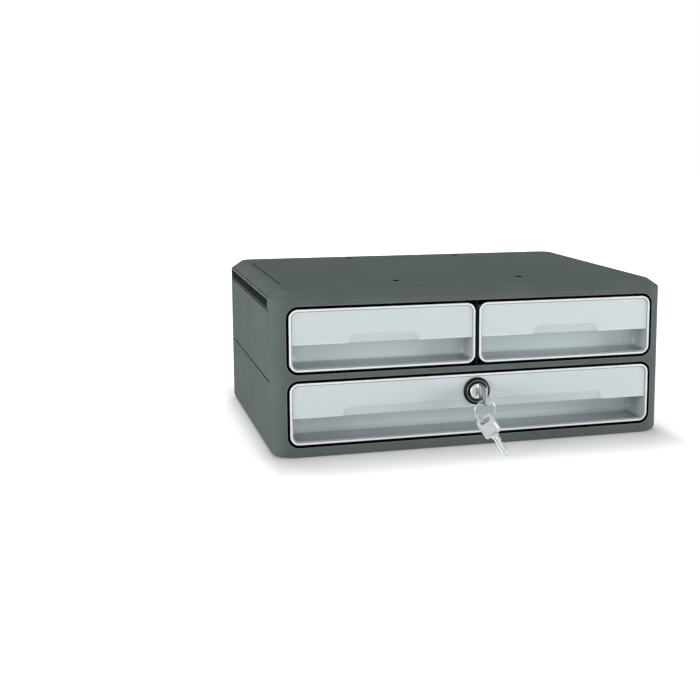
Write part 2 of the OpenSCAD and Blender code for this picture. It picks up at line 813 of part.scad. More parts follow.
// A key, upright: its tip points down, and the middle of the slot in its bow is the origin
module key_shape() {
    bow_top = slot_centre;
    bow_low = slot_centre - bow_l;
    tip = slot_centre - key_l;
    cut = 2;
    difference() {
        rotate([90, 0, 0]) translate([0, 0, -key_t / 2]) linear_extrude(key_t) {
            polygon([[-bow_w / 2, bow_top - 1], [-bow_w / 2 + 1, bow_top], [bow_w / 2 - 1, bow_top],
                [bow_w / 2, bow_top - 1], [bow_w / 2, bow_low + cut], [bow_w / 2 - cut, bow_low],
                [-bow_w / 2 + cut, bow_low], [-bow_w / 2, bow_low + cut]]);
            polygon([[-blade_w / 2 - 1, bow_low + 1], [blade_w / 2 + 1, bow_low + 1],
                [blade_w / 2 + 1, bow_low - 1.5], [blade_w / 2, bow_low - 2.5],
                [blade_w / 2, bow_low - 6], [blade_w / 2 - 1, bow_low - 7.5],
                [blade_w / 2 - 0.4, bow_low - 9.5],
                [blade_w / 2 - 1.4, bow_low - 11.5], [blade_w / 2 - 0.8, bow_low - 13.5],
                [blade_w / 2 - 1.6, bow_low - 15.5], [blade_w / 2 - 0.5, bow_low - 17.5],
                [blade_w / 2 - 1, tip + tip_l], [0.2, tip], [-0.8, tip], [-blade_w / 2, tip + tip_l],
                [-blade_w / 2, bow_low - 2.5], [-blade_w / 2 - 1, bow_low - 1.5]]);
        }
        rotate([90, 0, 0]) translate([0, 0, -key_t]) linear_extrude(2 * key_t)
            round_rect(bow_slot_l, bow_slot_h, bow_slot_h / 2 - 0.1);
        // Lengthwise grooves of the blade
        for (s = [-1, 1]) translate([-0.9, s * key_t / 2, (tip + 1.5 + bow_low - 2) / 2])
            cube([1.1, 0.9, bow_low - tip - 3.5], center = true);
        // Shallow panel on each face of the bow
        for (s = [-1, 1]) translate([0, s * key_t / 2, bow_low + 6])
            cube([bow_w - 4, 0.4, 7.4], center = true);
    }
}

module key_in_lock() color([0.80, 0.80, 0.79])
    translate([0, key_slot_y, lock_z]) rotate([90, 0, 0]) rotate([0, 0, 90]) key_shape();

module key_ring() color([0.76, 0.76, 0.76])
    translate([0, key_slot_y, ring_z]) rotate([0, 0, ring_yaw]) rotate([90, 0, 0])
        rotate_extrude() translate([ring_r, 0]) circle(r = wire_r);

module spare_key() color([0.80, 0.80, 0.79])
    translate([0, key_slot_y, ring_z - ring_r]) rotate([-spare_lean, 0, 0]) rotate([0, -spare_tilt, 0])
        rotate([0, 0, spare_twist]) translate([spare_shift, 0, 0]) key_shape();

lower_shell();
middle_shell();
top_cover();
front_frame();
shelf();
partition();
grip_strip_left();
grip_strip_right();
glide_rails();
shell_screws();
frame_screws();
rubber_feet();
lock_keeper();
keeper_screws();
upper_left_front();
upper_left_tray();
upper_left_screws();
upper_right_front();
upper_right_tray();
upper_right_screws();
lower_front();
lower_tray();
lower_screws();
lock_bezel();
lock_barrel();
lock_nut();
lock_plug();
lock_cam();
cam_screw();
key_in_lock();
key_ring();
spare_key();
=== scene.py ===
import math

import bmesh
import bpy
import numpy as np
from mathutils import Matrix


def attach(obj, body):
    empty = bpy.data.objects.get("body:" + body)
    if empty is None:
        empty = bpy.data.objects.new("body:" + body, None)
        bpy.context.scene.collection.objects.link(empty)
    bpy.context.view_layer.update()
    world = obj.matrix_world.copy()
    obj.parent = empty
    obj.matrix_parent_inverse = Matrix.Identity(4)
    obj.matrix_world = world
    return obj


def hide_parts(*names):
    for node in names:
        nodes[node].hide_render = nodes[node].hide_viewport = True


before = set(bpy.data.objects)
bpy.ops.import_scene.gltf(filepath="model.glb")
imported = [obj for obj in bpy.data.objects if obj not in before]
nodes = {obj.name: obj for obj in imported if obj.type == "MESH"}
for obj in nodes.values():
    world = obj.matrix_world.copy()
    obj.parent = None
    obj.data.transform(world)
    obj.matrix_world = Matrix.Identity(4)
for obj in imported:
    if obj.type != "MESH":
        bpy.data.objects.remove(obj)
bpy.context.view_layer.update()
mm = 0.001
print("stage: frame loaded")


# meshes from arrays (all lengths in millimetres)

def gridFaces(rows, cols, closeRows=False, closeCols=False):
    # quads of a grid of rows x cols points; a closed direction joins its last line to its first
    r = np.arange(rows if closeRows else rows - 1)
    c = np.arange(cols if closeCols else cols - 1)
    rr, cc = np.meshgrid(r, c, indexing="ij")
    r2, c2 = (rr + 1) % rows, (cc + 1) % cols
    return np.stack([rr * cols + cc, rr * cols + c2, r2 * cols + c2, r2 * cols + cc], -1).reshape(-1, 4)


def tubeFaces(rows, sides):
    # the quads of a tube of rows rings, and a face over each end
    ring = list(range(sides))
    return gridFaces(rows, sides, closeCols=True).tolist() + [ring, [(rows - 1) * sides + v for v in ring]]


def merged(*parts):
    # one (points, faces) from several, with the face numbers moved on
    points, faces, start = [], [], 0
    for p, f in parts:
        points.append(p)
        faces.extend([[v + start for v in face] for face in (f.tolist() if hasattr(f, "tolist") else f)])
        start += len(p)
    return np.concatenate(points), faces


def makePiece(name, points, faces, material, body, replaces=None, awayFrom=None, wall=0,
              angle=38, weld=0.01):
    # a mesh with welded doubles and outward faces: a closed one by its volume, an open one so that
    # its faces look away from the point awayFrom; wall is the thickness that Solidify adds inwards,
    # and edges that bend by more than angle are sharp
    mesh = bpy.data.meshes.new(name)
    mesh.from_pydata((np.asarray(points, float) * mm).tolist(), [], [list(f) for f in faces])
    bm = bmesh.new()
    bm.from_mesh(mesh)
    bmesh.ops.remove_doubles(bm, verts=bm.verts, dist=weld * mm)
    bmesh.ops.dissolve_degenerate(bm, edges=bm.edges, dist=1e-7)
    bmesh.ops.recalc_face_normals(bm, faces=bm.faces)
    if awayFrom is None:
        insideOut = bm.calc_volume(signed=True) < 0
    else:
        eye = np.array(awayFrom) * mm
        insideOut = sum(f.calc_area() * float(np.dot(f.normal, np.array(f.calc_center_median()) - eye))
                        for f in bm.faces) < 0
    if insideOut:
        bmesh.ops.reverse_faces(bm, faces=bm.faces)
    bm.to_mesh(mesh)
    bm.free()
    mesh.shade_smooth()
    mesh.set_sharp_from_angle(angle=math.radians(angle))
    keepOpenEdgesSharp(mesh)
    piece = bpy.data.objects.new(name, mesh)
    bpy.context.scene.collection.objects.link(piece)
    if wall:
        solid = piece.modifiers.new("wall", "SOLIDIFY")
        solid.thickness = wall * mm
        solid.offset = -1
        solid.use_quality_normals = True
    mesh.materials.append(material)
    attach(piece, body)
    if replaces:
        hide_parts(replaces)
    return piece


def keepOpenEdgesSharp(mesh):
    # edges with one face stay sharp, so the rim that Solidify adds there doesn't bend the shading
    used = np.empty(len(mesh.loops), np.int32)
    mesh.loops.foreach_get("edge_index", used)
    sharp = np.empty(len(mesh.edges), bool)
    mesh.edges.foreach_get("use_edge_sharp", sharp)
    sharp |= np.bincount(used, minlength=len(sharp)) == 1
    mesh.edges.foreach_set("use_edge_sharp", sharp)


def paint(piece, finish, chosen):
    # gives the faces that chosen picks out of the arrays x, y, z of their centres another finish
    mesh = piece.data
    mesh.materials.append(finish)
    centres = np.empty(len(mesh.polygons) * 3)
    mesh.polygons.foreach_get("center", centres)
    index = np.empty(len(mesh.polygons), np.int32)
    mesh.polygons.foreach_get("material_index", index)
    index[chosen(*(centres.reshape(-1, 3) / mm).T)] = len(mesh.materials) - 1
    mesh.polygons.foreach_set("material_index", index)


def pastRoundRect(a, b, centre, half, radius):
    # how far points lie outside a rounded rectangle, and below zero inside it
    qa = np.abs(a - centre[0]) - (half[0] - radius)
    qb = np.abs(b - centre[1]) - (half[1] - radius)
    return np.hypot(np.maximum(qa, 0), np.maximum(qb, 0)) + np.minimum(np.maximum(qa, qb), 0) - radius


def softPath(corners, reach, steps=5):
    # a polyline whose inner corners become quadratic curves that begin and end reach away from them
    corners = np.asarray(corners, float)
    t = np.linspace(0, 1, steps + 1)[:, None]
    path = [corners[:1]]
    for before, here, after, far in zip(corners[:-2], corners[1:-1], corners[2:], reach):
        if far <= 0:
            path.append(here[None])
            continue
        a = here + (before - here) * far / np.linalg.norm(before - here)
        b = here + (after - here) * far / np.linalg.norm(after - here)
        path.append((1 - t) ** 2 * a + 2 * t * (1 - t) * here + t ** 2 * b)
    path.append(corners[-1:])
    return np.concatenate(path)


def lines(*marks):
    # sorted grid lines from start to end at about that step, for each mark (start, end, step)
    found = [np.linspace(start, end, max(2, int(round((end - start) / step)) + 1))
             for start, end, step in marks]
    return np.unique(np.round(np.concatenate(found), 5))


def ontoRoundRect(p, centre, half, radius):
    # each point p drawn onto a rounded rectangle: it is held inside the rectangle of the corner centres,
    # and goes on from there towards p by one radius
    q = p - centre
    core = np.maximum(np.asarray(half, float) - radius, 0)
    inner = np.clip(q, -core, core)
    d = q - inner
    length = np.linalg.norm(d, axis=1, keepdims=True)
    d = np.where(length > 1e-9, d / np.maximum(length, 1e-9), 0)
    return centre + inner + d * radius


def panelWithHoles(aLines, bLines, holes, skip=None):
    # a grid over (a, b) with rounded holes: each hole takes out a block of cells, and rings run from
    # the block's edge to the hole's outline and on over its rows (inset, depth); skip picks cells that
    # are left out; returns points (a, b, depth) and faces
    aa, bb = np.meshgrid(aLines, bLines, indexing="ij")
    points = [np.stack([aa, bb, 0 * aa], -1).reshape(-1, 3)]
    ac, bc = (aLines[:-1] + aLines[1:]) / 2, (bLines[:-1] + bLines[1:]) / 2
    am, bm = np.meshgrid(ac, bc, indexing="ij")
    keep = np.ones_like(am, bool)
    for h in holes:
        a0, a1, b0, b1 = h["cell"]
        keep &= ~((am > a0) & (am < a1) & (bm > b0) & (bm < b1))
    if skip is not None:
        keep &= ~skip(am, bm)
    faces = [gridFaces(len(aLines), len(bLines))[keep.reshape(-1)]]
    start = len(points[0])
    for h in holes:
        a0, a1, b0, b1 = h["cell"]
        ia = aLines[(aLines > a0 - 1e-4) & (aLines < a1 + 1e-4)]
        ib = bLines[(bLines > b0 - 1e-4) & (bLines < b1 + 1e-4)]
        edge = np.concatenate([
            np.stack([ia[:-1], np.full(len(ia) - 1, ib[0])], 1),
            np.stack([np.full(len(ib) - 1, ia[-1]), ib[:-1]], 1),
            np.stack([ia[:0:-1], np.full(len(ia) - 1, ib[-1])], 1),
            np.stack([np.full(len(ib) - 1, ia[0]), ib[:0:-1]], 1)])
        rows = [np.concatenate([edge, np.zeros((len(edge), 1))], 1)]
        for inset, depth in h["rows"]:
            half = np.maximum(np.asarray(h["half"], float) - inset, 0)
            ring = ontoRoundRect(edge, np.asarray(h["centre"], float), half, max(h["radius"] - inset, 0))
            rows.append(np.concatenate([ring, np.full((len(edge), 1), depth)], 1))
        points.append(np.concatenate(rows))
        faces.append(gridFaces(len(rows), len(edge), closeCols=True) + start)
        start += len(rows) * len(edge)
    return np.concatenate(points), np.concatenate(faces)


def roundRectLoop(halfW, halfH, radius, arc=10, sideW=24, sideH=8):
    # points round a rounded rectangle from the lower right corner up: the same number for every size
    corners = []
    for k, (sx, sy) in enumerate([(1, -1), (1, 1), (-1, 1), (-1, -1)]):
        t = np.radians(-90 + 90 * k) + np.linspace(0, np.pi / 2, arc + 1)
        corners.append(np.stack([sx * (halfW - radius) + radius * np.cos(t),
                                 sy * (halfH - radius) + radius * np.sin(t)], 1))
    loop = []
    for k in range(4):
        here, after = corners[k], corners[(k + 1) % 4]
        count = sideH if k % 2 == 0 else sideW
        t = np.linspace(0, 1, count + 1)[1:-1, None]
        loop += [here, here[-1] * (1 - t) + after[0] * t]
    return np.concatenate(loop)


def unitCircle(count):
    angle = np.linspace(0, 2 * np.pi, count, endpoint=False)
    return np.stack([np.cos(angle), np.sin(angle)], 1)


def revolve(profile, centre, sides=96):
    # a profile of (radius, y) carried round an axis along Y through centre (x, z)
    profile = np.asarray(profile, float)
    t = np.linspace(0, 2 * np.pi, sides, endpoint=False)
    x = centre[0] + profile[:, :1] * np.cos(t)
    z = centre[1] + profile[:, :1] * np.sin(t)
    y = np.repeat(profile[:, 1:2], sides, 1)
    return np.stack([x, y, z], -1).reshape(-1, 3), gridFaces(len(profile), sides, closeCols=True)


def turned(points, axis, degrees):
    # points turned about the X, Y or Z axis through the origin, by a rotation matrix
    c, s = math.cos(math.radians(degrees)), math.sin(math.radians(degrees))
    matrix = {"x": [[1, 0, 0], [0, c, -s], [0, s, c]], "y": [[c, 0, s], [0, 1, 0], [-s, 0, c]],
              "z": [[c, -s, 0], [s, c, 0], [0, 0, 1]]}[axis]
    return np.asarray(points) @ np.array(matrix).T


def smooth(x, low, high):
    # 0 below low, 1 above high, and a soft rise between them: 3tt - 2ttt
    t = np.clip((x - low) / (high - low), 0, 1)
    return t * t * (3 - 2 * t)


# materials

class Value:
    # a socket with arithmetic: each operator adds a Math node
    def __init__(self, graph, socket):
        self.graph, self.socket = graph, socket

    def maths(self, operation, *others):
        return self.graph.add("ShaderNodeMath", dict(enumerate((self, *others))), operation=operation)

    def __add__(self, other):
        return self.maths("ADD", other)

    def __sub__(self, other):
        return self.maths("SUBTRACT", other)

    def __rsub__(self, other):
        return self.graph.add("ShaderNodeMath", {0: other, 1: self}, operation="SUBTRACT")

    def __mul__(self, other):
        return self.maths("MULTIPLY", other)

    __radd__ = __add__
    __rmul__ = __mul__


class Graph:
    # the nodes of one material
    def __init__(self, name):
        self.material = bpy.data.materials.new(name)
        self.material.use_nodes = True
        self.tree = self.material.node_tree
        self.shader = self.tree.nodes["Principled BSDF"]
        self.place = self.add("ShaderNodeTexCoord", {}, out="Object")

    def add(self, kind, inputs, out=0, **settings):
        # a node with its settings first, and then the values or links of its sockets
        node = self.tree.nodes.new(kind)
        for key, value in settings.items():
            setattr(node, key, value)
        for key, value in inputs.items():
            self.feed(node.inputs[key], value)
        return Value(self, node.outputs[out])

    def feed(self, socket, value):
        if isinstance(value, Value):
            self.tree.links.new(value.socket, socket)
        else:
            socket.default_value = value

    def noise(self, scale, detail=2, roughness=0.5):
        return self.add("ShaderNodeTexNoise", {"Vector": self.place, "Scale": scale, "Detail": detail,
                                               "Roughness": roughness})

    def mix(self, factor, colour, other, blend="MIX"):
        # a Mix node's sockets 6 and 7 and its output 2 are the ones for colours
        return self.add("ShaderNodeMix", {0: factor, 6: colour, 7: other}, out=2, data_type="RGBA",
                        blend_type=blend)

    def axis(self, name):
        # the object's own x, y or z, in metres
        return self.add("ShaderNodeSeparateXYZ", {0: self.place}, out=name)

    def ramp(self, value, low, high):
        # 0 where the value is low and 1 where it is high, with a soft rise; low may be the larger one
        return self.add("ShaderNodeMapRange", {"Value": value, "From Min": low, "From Max": high},
                        interpolation_type="SMOOTHSTEP")

    def finish(self, colour, roughness, bump, distance, strength, constants):
        normal = self.add("ShaderNodeBump", {"Height": bump, "Distance": distance, "Strength": strength})
        varying = {"Base Color": colour, "Roughness": roughness, "Normal": normal}
        for key, value in {**varying, **constants}.items():
            self.feed(self.shader.inputs[key], value)
        return self.material


def shade(colour, factor):
    # a colour made lighter or darker, as RGBA
    return tuple(c * factor for c in colour) + (1,)


def plastic(name, colour, roughness, grain=0.00006, spread=0.05, coat=0.0, specular=0.5, shadows=None):
    # moulded plastic: broad faint unevenness in its tone, a fine grain and slightly uneven gloss;
    # shadows gives, from x, y, z as sockets in millimetres, places and factors of a darker tone
    graph = Graph(name)
    cloud = graph.noise(24, 3, 0.6)
    fine = graph.noise(2600, 2, 0.6)
    tone = graph.mix(graph.ramp(cloud + fine * 0.3, 0.4, 0.9), shade(colour, 1 - spread),
                     shade(colour, 1 + spread))
    if shadows:
        for place, factor in shadows(graph, *(graph.axis(name) * (1 / mm) for name in "XYZ")):
            tone = graph.mix(place, tone, graph.mix(1.0, tone, shade((1, 1, 1), factor), "MULTIPLY"))
    rough = graph.noise(60, 2) * 0.1 + (roughness - 0.05)
    return graph.finish(tone, rough, fine, grain, 1.0, {"Coat Weight": coat, "Coat Roughness": 0.25,
                                                        "Specular IOR Level": specular})


def metal(name, colour, roughness, scratch=0.00001, spread=0.06):
    # plated metal: faint clouds of tone and fine uneven polish
    graph = Graph(name)
    cloud = graph.noise(300, 3, 0.6)
    fine = graph.noise(2400, 3, 0.7)
    tone = graph.mix(cloud, shade(colour, 1 - spread), shade(colour, 1 + spread))
    rough = fine * 0.16 + (roughness - 0.08)
    return graph.finish(tone, rough, fine, scratch, 0.8, {"Metallic": 1.0})


finishes = {
    "housing": plastic("housingPlastic", (0.127, 0.152, 0.144), 0.62, specular=0.0),
    # a lighter copy of the housing plastic: painted highlight beside the openings' lips and along the
    # slots' upper edges
    "edge": plastic("housingHighlight", (0.2, 0.235, 0.23), 0.5, specular=0.1),
    # a darker copy of the housing plastic: painted shade in the fine groove on the top
    "line": plastic("grooveShadePlastic", (0.06, 0.072, 0.069), 0.6, specular=0.0),
    # near-black painted shade, put in gaps, hollows, slots, keyways and on the hidden sides of parts
    "gap": plastic("paintedShadeBlack", (0.005, 0.006, 0.006), 0.7, specular=0.0),
    "inside": plastic("innerPlastic", (0.08, 0.09, 0.085), 0.6),
    "rimShade": plastic("rimShadePlastic", (0.36, 0.4, 0.415), 0.4, grain=0.00001, spread=0.01),
    # near-white painted highlight for the crests of the fronts' raised rims and for their lips
    "rim": plastic("rimHighlightPlastic", (0.95, 0.985, 1.0), 0.28, grain=0.00001, spread=0.01, coat=0.3),
    "tray": plastic("trayPlastic", (0.5, 0.55, 0.57), 0.45, grain=0.00003, spread=0.03),
    "glide": plastic("glidePlastic", (0.62, 0.63, 0.62), 0.35, grain=0.00003, spread=0.03,
                     shadows=lambda graph, px, py, pz: [(graph.ramp(py, -96, -112), 0.03)]),
    "post": plastic("postPlastic", (0.05, 0.056, 0.06), 0.6, specular=0.05,
                    shadows=lambda graph, px, py, pz: [(graph.ramp(py, -137.3, -136.6), 0.15)]),
    # dark painted shade for the grip strips, which sit in the shade of the slots
    "gripShade": plastic("gripShadePlastic", (0.04, 0.05, 0.048), 0.6, specular=0.0),
    "bezel": plastic("bezelPlastic", (0.004, 0.004, 0.004), 0.45, grain=0.00001, spread=0.02,
                     specular=0.15),
    "rubber": plastic("footRubber", (0.02, 0.02, 0.02), 0.8),
    "steel": metal("zincSteel", (0.6, 0.61, 0.62), 0.35, scratch=0.00002),
    "nickel": metal("nickelPlate", (0.43, 0.45, 0.455), 0.3),
    "bright": metal("brightNickel", (0.86, 0.88, 0.88), 0.3, spread=0.03),
}
print("stage: materials made")


# housing

housing = {
    "halfW": 184.5, "frontY": -137.5, "jointY": -120.5, "topZ": 146.0, "lowZ": 0.5,
    "cornerR": 17.0, "slopeX": 11.0, "slopeY": 6.0, "slopeZ": 138.6, "edgeR": 4.3, "edgeY": 0.6,
    "seam": 64.85, "coverSeam": 127.4, "seamGap": 1.0, "seamDepth": 1.2, "wall": 2.2,
    "openHalf": 171.85, "openLow": (9.4, 68.15), "openHigh": (73.95, 132.7), "openR": 10.1, "lip": 0.45,
    "frameT": 3.0, "frameWall": 1.6, "slotY": (-114.5, 118.0), "slotZ": (129.3, 137.2), "slotR": 1.2,
    "slotLip": 0.3, "slotDepth": 2.2, "dimpleX": 60.0, "dimpleY": (-81.5, 118.5), "dimpleR": 3.0,
    "dimpleDepth": 5.0, "grooveX": -167.3, "grooveY": (-86.0, 90.0), "grooveHalf": 0.5, "grooveDepth": 0.8,
}
coreX = housing["halfW"] - housing["cornerR"]  # the straight stretches end here and the corners begin
coreY = -housing["jointY"]
arcSteps = 12  # of each rear corner


class Skin:
    # a surface that follows the housing's outline: a runs along the outline, b up the profile whose
    # points are (z, inset in x, inset in y), and depth goes inwards
    def __init__(self, knots, profile, zeroAt):
        self.knots = np.asarray(knots, float)  # rows of a, share of the core in x, y, angle in degrees
        self.profile = np.asarray(profile, float)
        step = np.linalg.norm(np.diff(self.profile, axis=0), axis=1)
        self.b = np.concatenate([[0], np.cumsum(step)])
        self.b += zeroAt[1] - self.b[zeroAt[0]]  # b is z along the upright wall

    def place(self, points, straightBack=False):
        # points (a, b, depth) become (x, y, z); straightBack sends the depth along y alone
        a, b, depth = points.T
        shareX, y0, angle = (np.interp(a, self.knots[:, 0], self.knots[:, k]) for k in (1, 2, 3))
        z, inX, inY = (np.interp(b, self.b, self.profile[:, k]) for k in (0, 1, 2))
        radius = housing["cornerR"] - inY
        dx, dy = np.cos(np.radians(angle)), np.sin(np.radians(angle))
        x = shareX * (coreX - inX + inY) + radius * dx
        y = y0 + radius * dy
        if straightBack:
            return np.stack([x, y + depth, z], 1)
        return np.stack([x - dx * depth, y - dy * depth, z], 1)


def bottomRounding(steps=6):
    # from the underside to the upright wall: a quarter turn in x, and a faint one in y
    t = np.linspace(0, np.pi / 2, steps + 1)
    r = housing["edgeR"]
    return np.stack([housing["lowZ"] + r * (1 - np.cos(t)), r * (1 - np.sin(t)),
                     housing["edgeY"] * (1 - np.sin(t))], 1)


def openingRows(lip, depth, steps=5):
    # (inset, depth) of a lip, a quarter circle of that radius, and of the wall behind it
    t = np.linspace(0, np.pi / 2, steps + 1)
    rows = [(-lip + lip * math.sin(v), lip * (1 - math.cos(v))) for v in t]
    return rows + [(0, depth)]


def buildFrame():
    # the front frame: one skin from under the front edge over the face and the slope to the top, with
    # two rounded openings; its grid is fine near their edges
    h = housing
    arc = math.pi / 2 * h["cornerR"]
    knots = [(-coreX - arc, -1, h["jointY"], 180), (-coreX, -1, h["jointY"], 270),
             (coreX, 1, h["jointY"], 270), (coreX + arc, 1, h["jointY"], 360)]
    rounding = bottomRounding()
    under = [(h["lowZ"], h["edgeR"] - h["edgeY"] + v, v) for v in (17, 12, 6, 2)]
    upper = softPath([(100, 0, 0), (h["slopeZ"], 0, 0), (h["topZ"], h["slopeX"], h["slopeY"]),
                      (h["topZ"], 22, 17)], (0.9, 1.6))
    profile = np.concatenate([under, rounding, upper])
    skin = Skin(knots, profile, (len(under) + len(rounding) - 1, rounding[-1][0]))
    middle = (h["openLow"][1] + h["openHigh"][0]) / 2
    margin, corner = 3.0, 15.0
    aEnd = h["openHalf"] + margin
    aNear = aEnd - corner - 1
    aLines = lines((-coreX - arc, -aEnd, 2), (-aEnd, -aNear, 1), (-aNear, aNear, 8), (aNear, aEnd, 1),
                   (aEnd, coreX + arc, 2))
    low, high = h["openLow"], h["openHigh"]
    bLow, bHigh = low[0] - margin, high[1] + margin
    wallLines = lines((bLow, bLow + corner, 1), (bLow + corner, middle - corner, 4),
                      (middle - corner, middle, 1), (middle, middle + corner, 1),
                      (middle + corner, bHigh - corner, 4), (bHigh - corner, bHigh, 1))
    outside = skin.b[(skin.b < bLow - 0.3) | (skin.b > bHigh + 0.3)]
    bLines = np.unique(np.concatenate([wallLines, outside]))
    rows = [(-2.0, 0), (-h["lip"] - 0.5, 0)] + openingRows(h["lip"], h["frameT"])
    holes = [{"cell": (-aEnd, aEnd, b0, b1), "centre": (0, (z[0] + z[1]) / 2),
              "half": (h["openHalf"], (z[1] - z[0]) / 2), "radius": h["openR"], "rows": rows}
             for b0, b1, z in ((bLow, middle, low), (middle, bHigh, high))]
    points, faces = panelWithHoles(aLines, bLines, holes)
    piece = makePiece("frontFrame", skin.place(points, True), faces, finishes["housing"], "case",
                      "front_frame", awayFrom=(0, 0, 70), wall=h["frameWall"])

    def pastOpening(x, z):
        # how far the point lies past the nearer opening
        return np.minimum(*(pastRoundRect(x, z, (0, sum(v) / 2), (h["openHalf"] - 0.05, (v[1] - v[0]) / 2),
                                          h["openR"]) for v in (low, high)))

    def lipHighlightFaces(x, y, z):
        # a narrow ring on the face beside the lip, painted lighter as a highlight
        over = np.maximum(np.abs(x) - coreX, 0)
        face = h["frontY"] + h["cornerR"] - np.sqrt(np.maximum(h["cornerR"] ** 2 - over ** 2, 0))
        past = pastOpening(x, z)
        return (past > h["lip"]) & (past < h["lip"] + 0.5) & (y - face < 0.1)

    paint(piece, finishes["edge"], lipHighlightFaces)
    # the lips and the openings' walls painted near-black as shade
    paint(piece, finishes["gap"], lambda x, y, z: pastOpening(x, z) < h["lip"])


def shellKnots():
    # the outline from the frame's left end round the rear to its right end: straight lines and quarter
    # circles, as rows for Skin
    arc = math.pi / 2 * housing["cornerR"]
    side, rear = 2 * coreY, 2 * coreX
    stops = np.cumsum([0, side, arc, rear, arc, side])
    return np.stack([stops, [-1, -1, -1, 1, 1, 1], [-coreY, coreY, coreY, coreY, coreY, -coreY],
                     [180, 180, 90, 90, 0, 0]], 1)


def shellLines(sideY, rearX):
    # grid lines along that outline: at the given y on the sides, x on the rear, and round the corners
    stops = shellKnots()[:, 0]
    arcs = [np.linspace(stops[k], stops[k + 1], arcSteps + 1) for k in (1, 3)]
    return np.unique(np.round(np.concatenate([sideY + coreY, arcs[0], stops[2] + coreX + rearX, arcs[1],
                                              stops[4] + coreY - sideY]), 5))


def plate(level, xCore, yCore, offsets, holes=()):
    # the flat top or floor inside an outline at that level (z, inset x, inset y): a grid with strips
    # beyond the core on three sides, quarter fans in the rear corners, and the holes, which go down
    z, inX, inY = level
    x0 = coreX - inX + inY
    offsets = np.asarray(offsets)
    xs = np.concatenate([-(x0 + offsets[:0:-1]), xCore * x0 / coreX, x0 + offsets[1:]])
    ys = np.concatenate([yCore, coreY + offsets[1:]])
    points, faces = panelWithHoles(xs, ys, holes, lambda a, b: (abs(a) > x0) & (b > coreY))
    grid = np.stack([points[:, 0], points[:, 1], z - points[:, 2]], 1)
    parts = [(grid, faces)]
    angle = np.linspace(0, np.pi / 2, arcSteps + 1)
    for side in (-1, 1):
        x = side * (x0 + offsets[:, None] * np.sin(angle))
        y = coreY + offsets[:, None] * np.cos(angle)
        fan = np.stack([x, y, np.full_like(x, z)], -1).reshape(-1, 3)
        parts.append((fan, gridFaces(len(offsets), arcSteps + 1)))
    return merged(*parts)


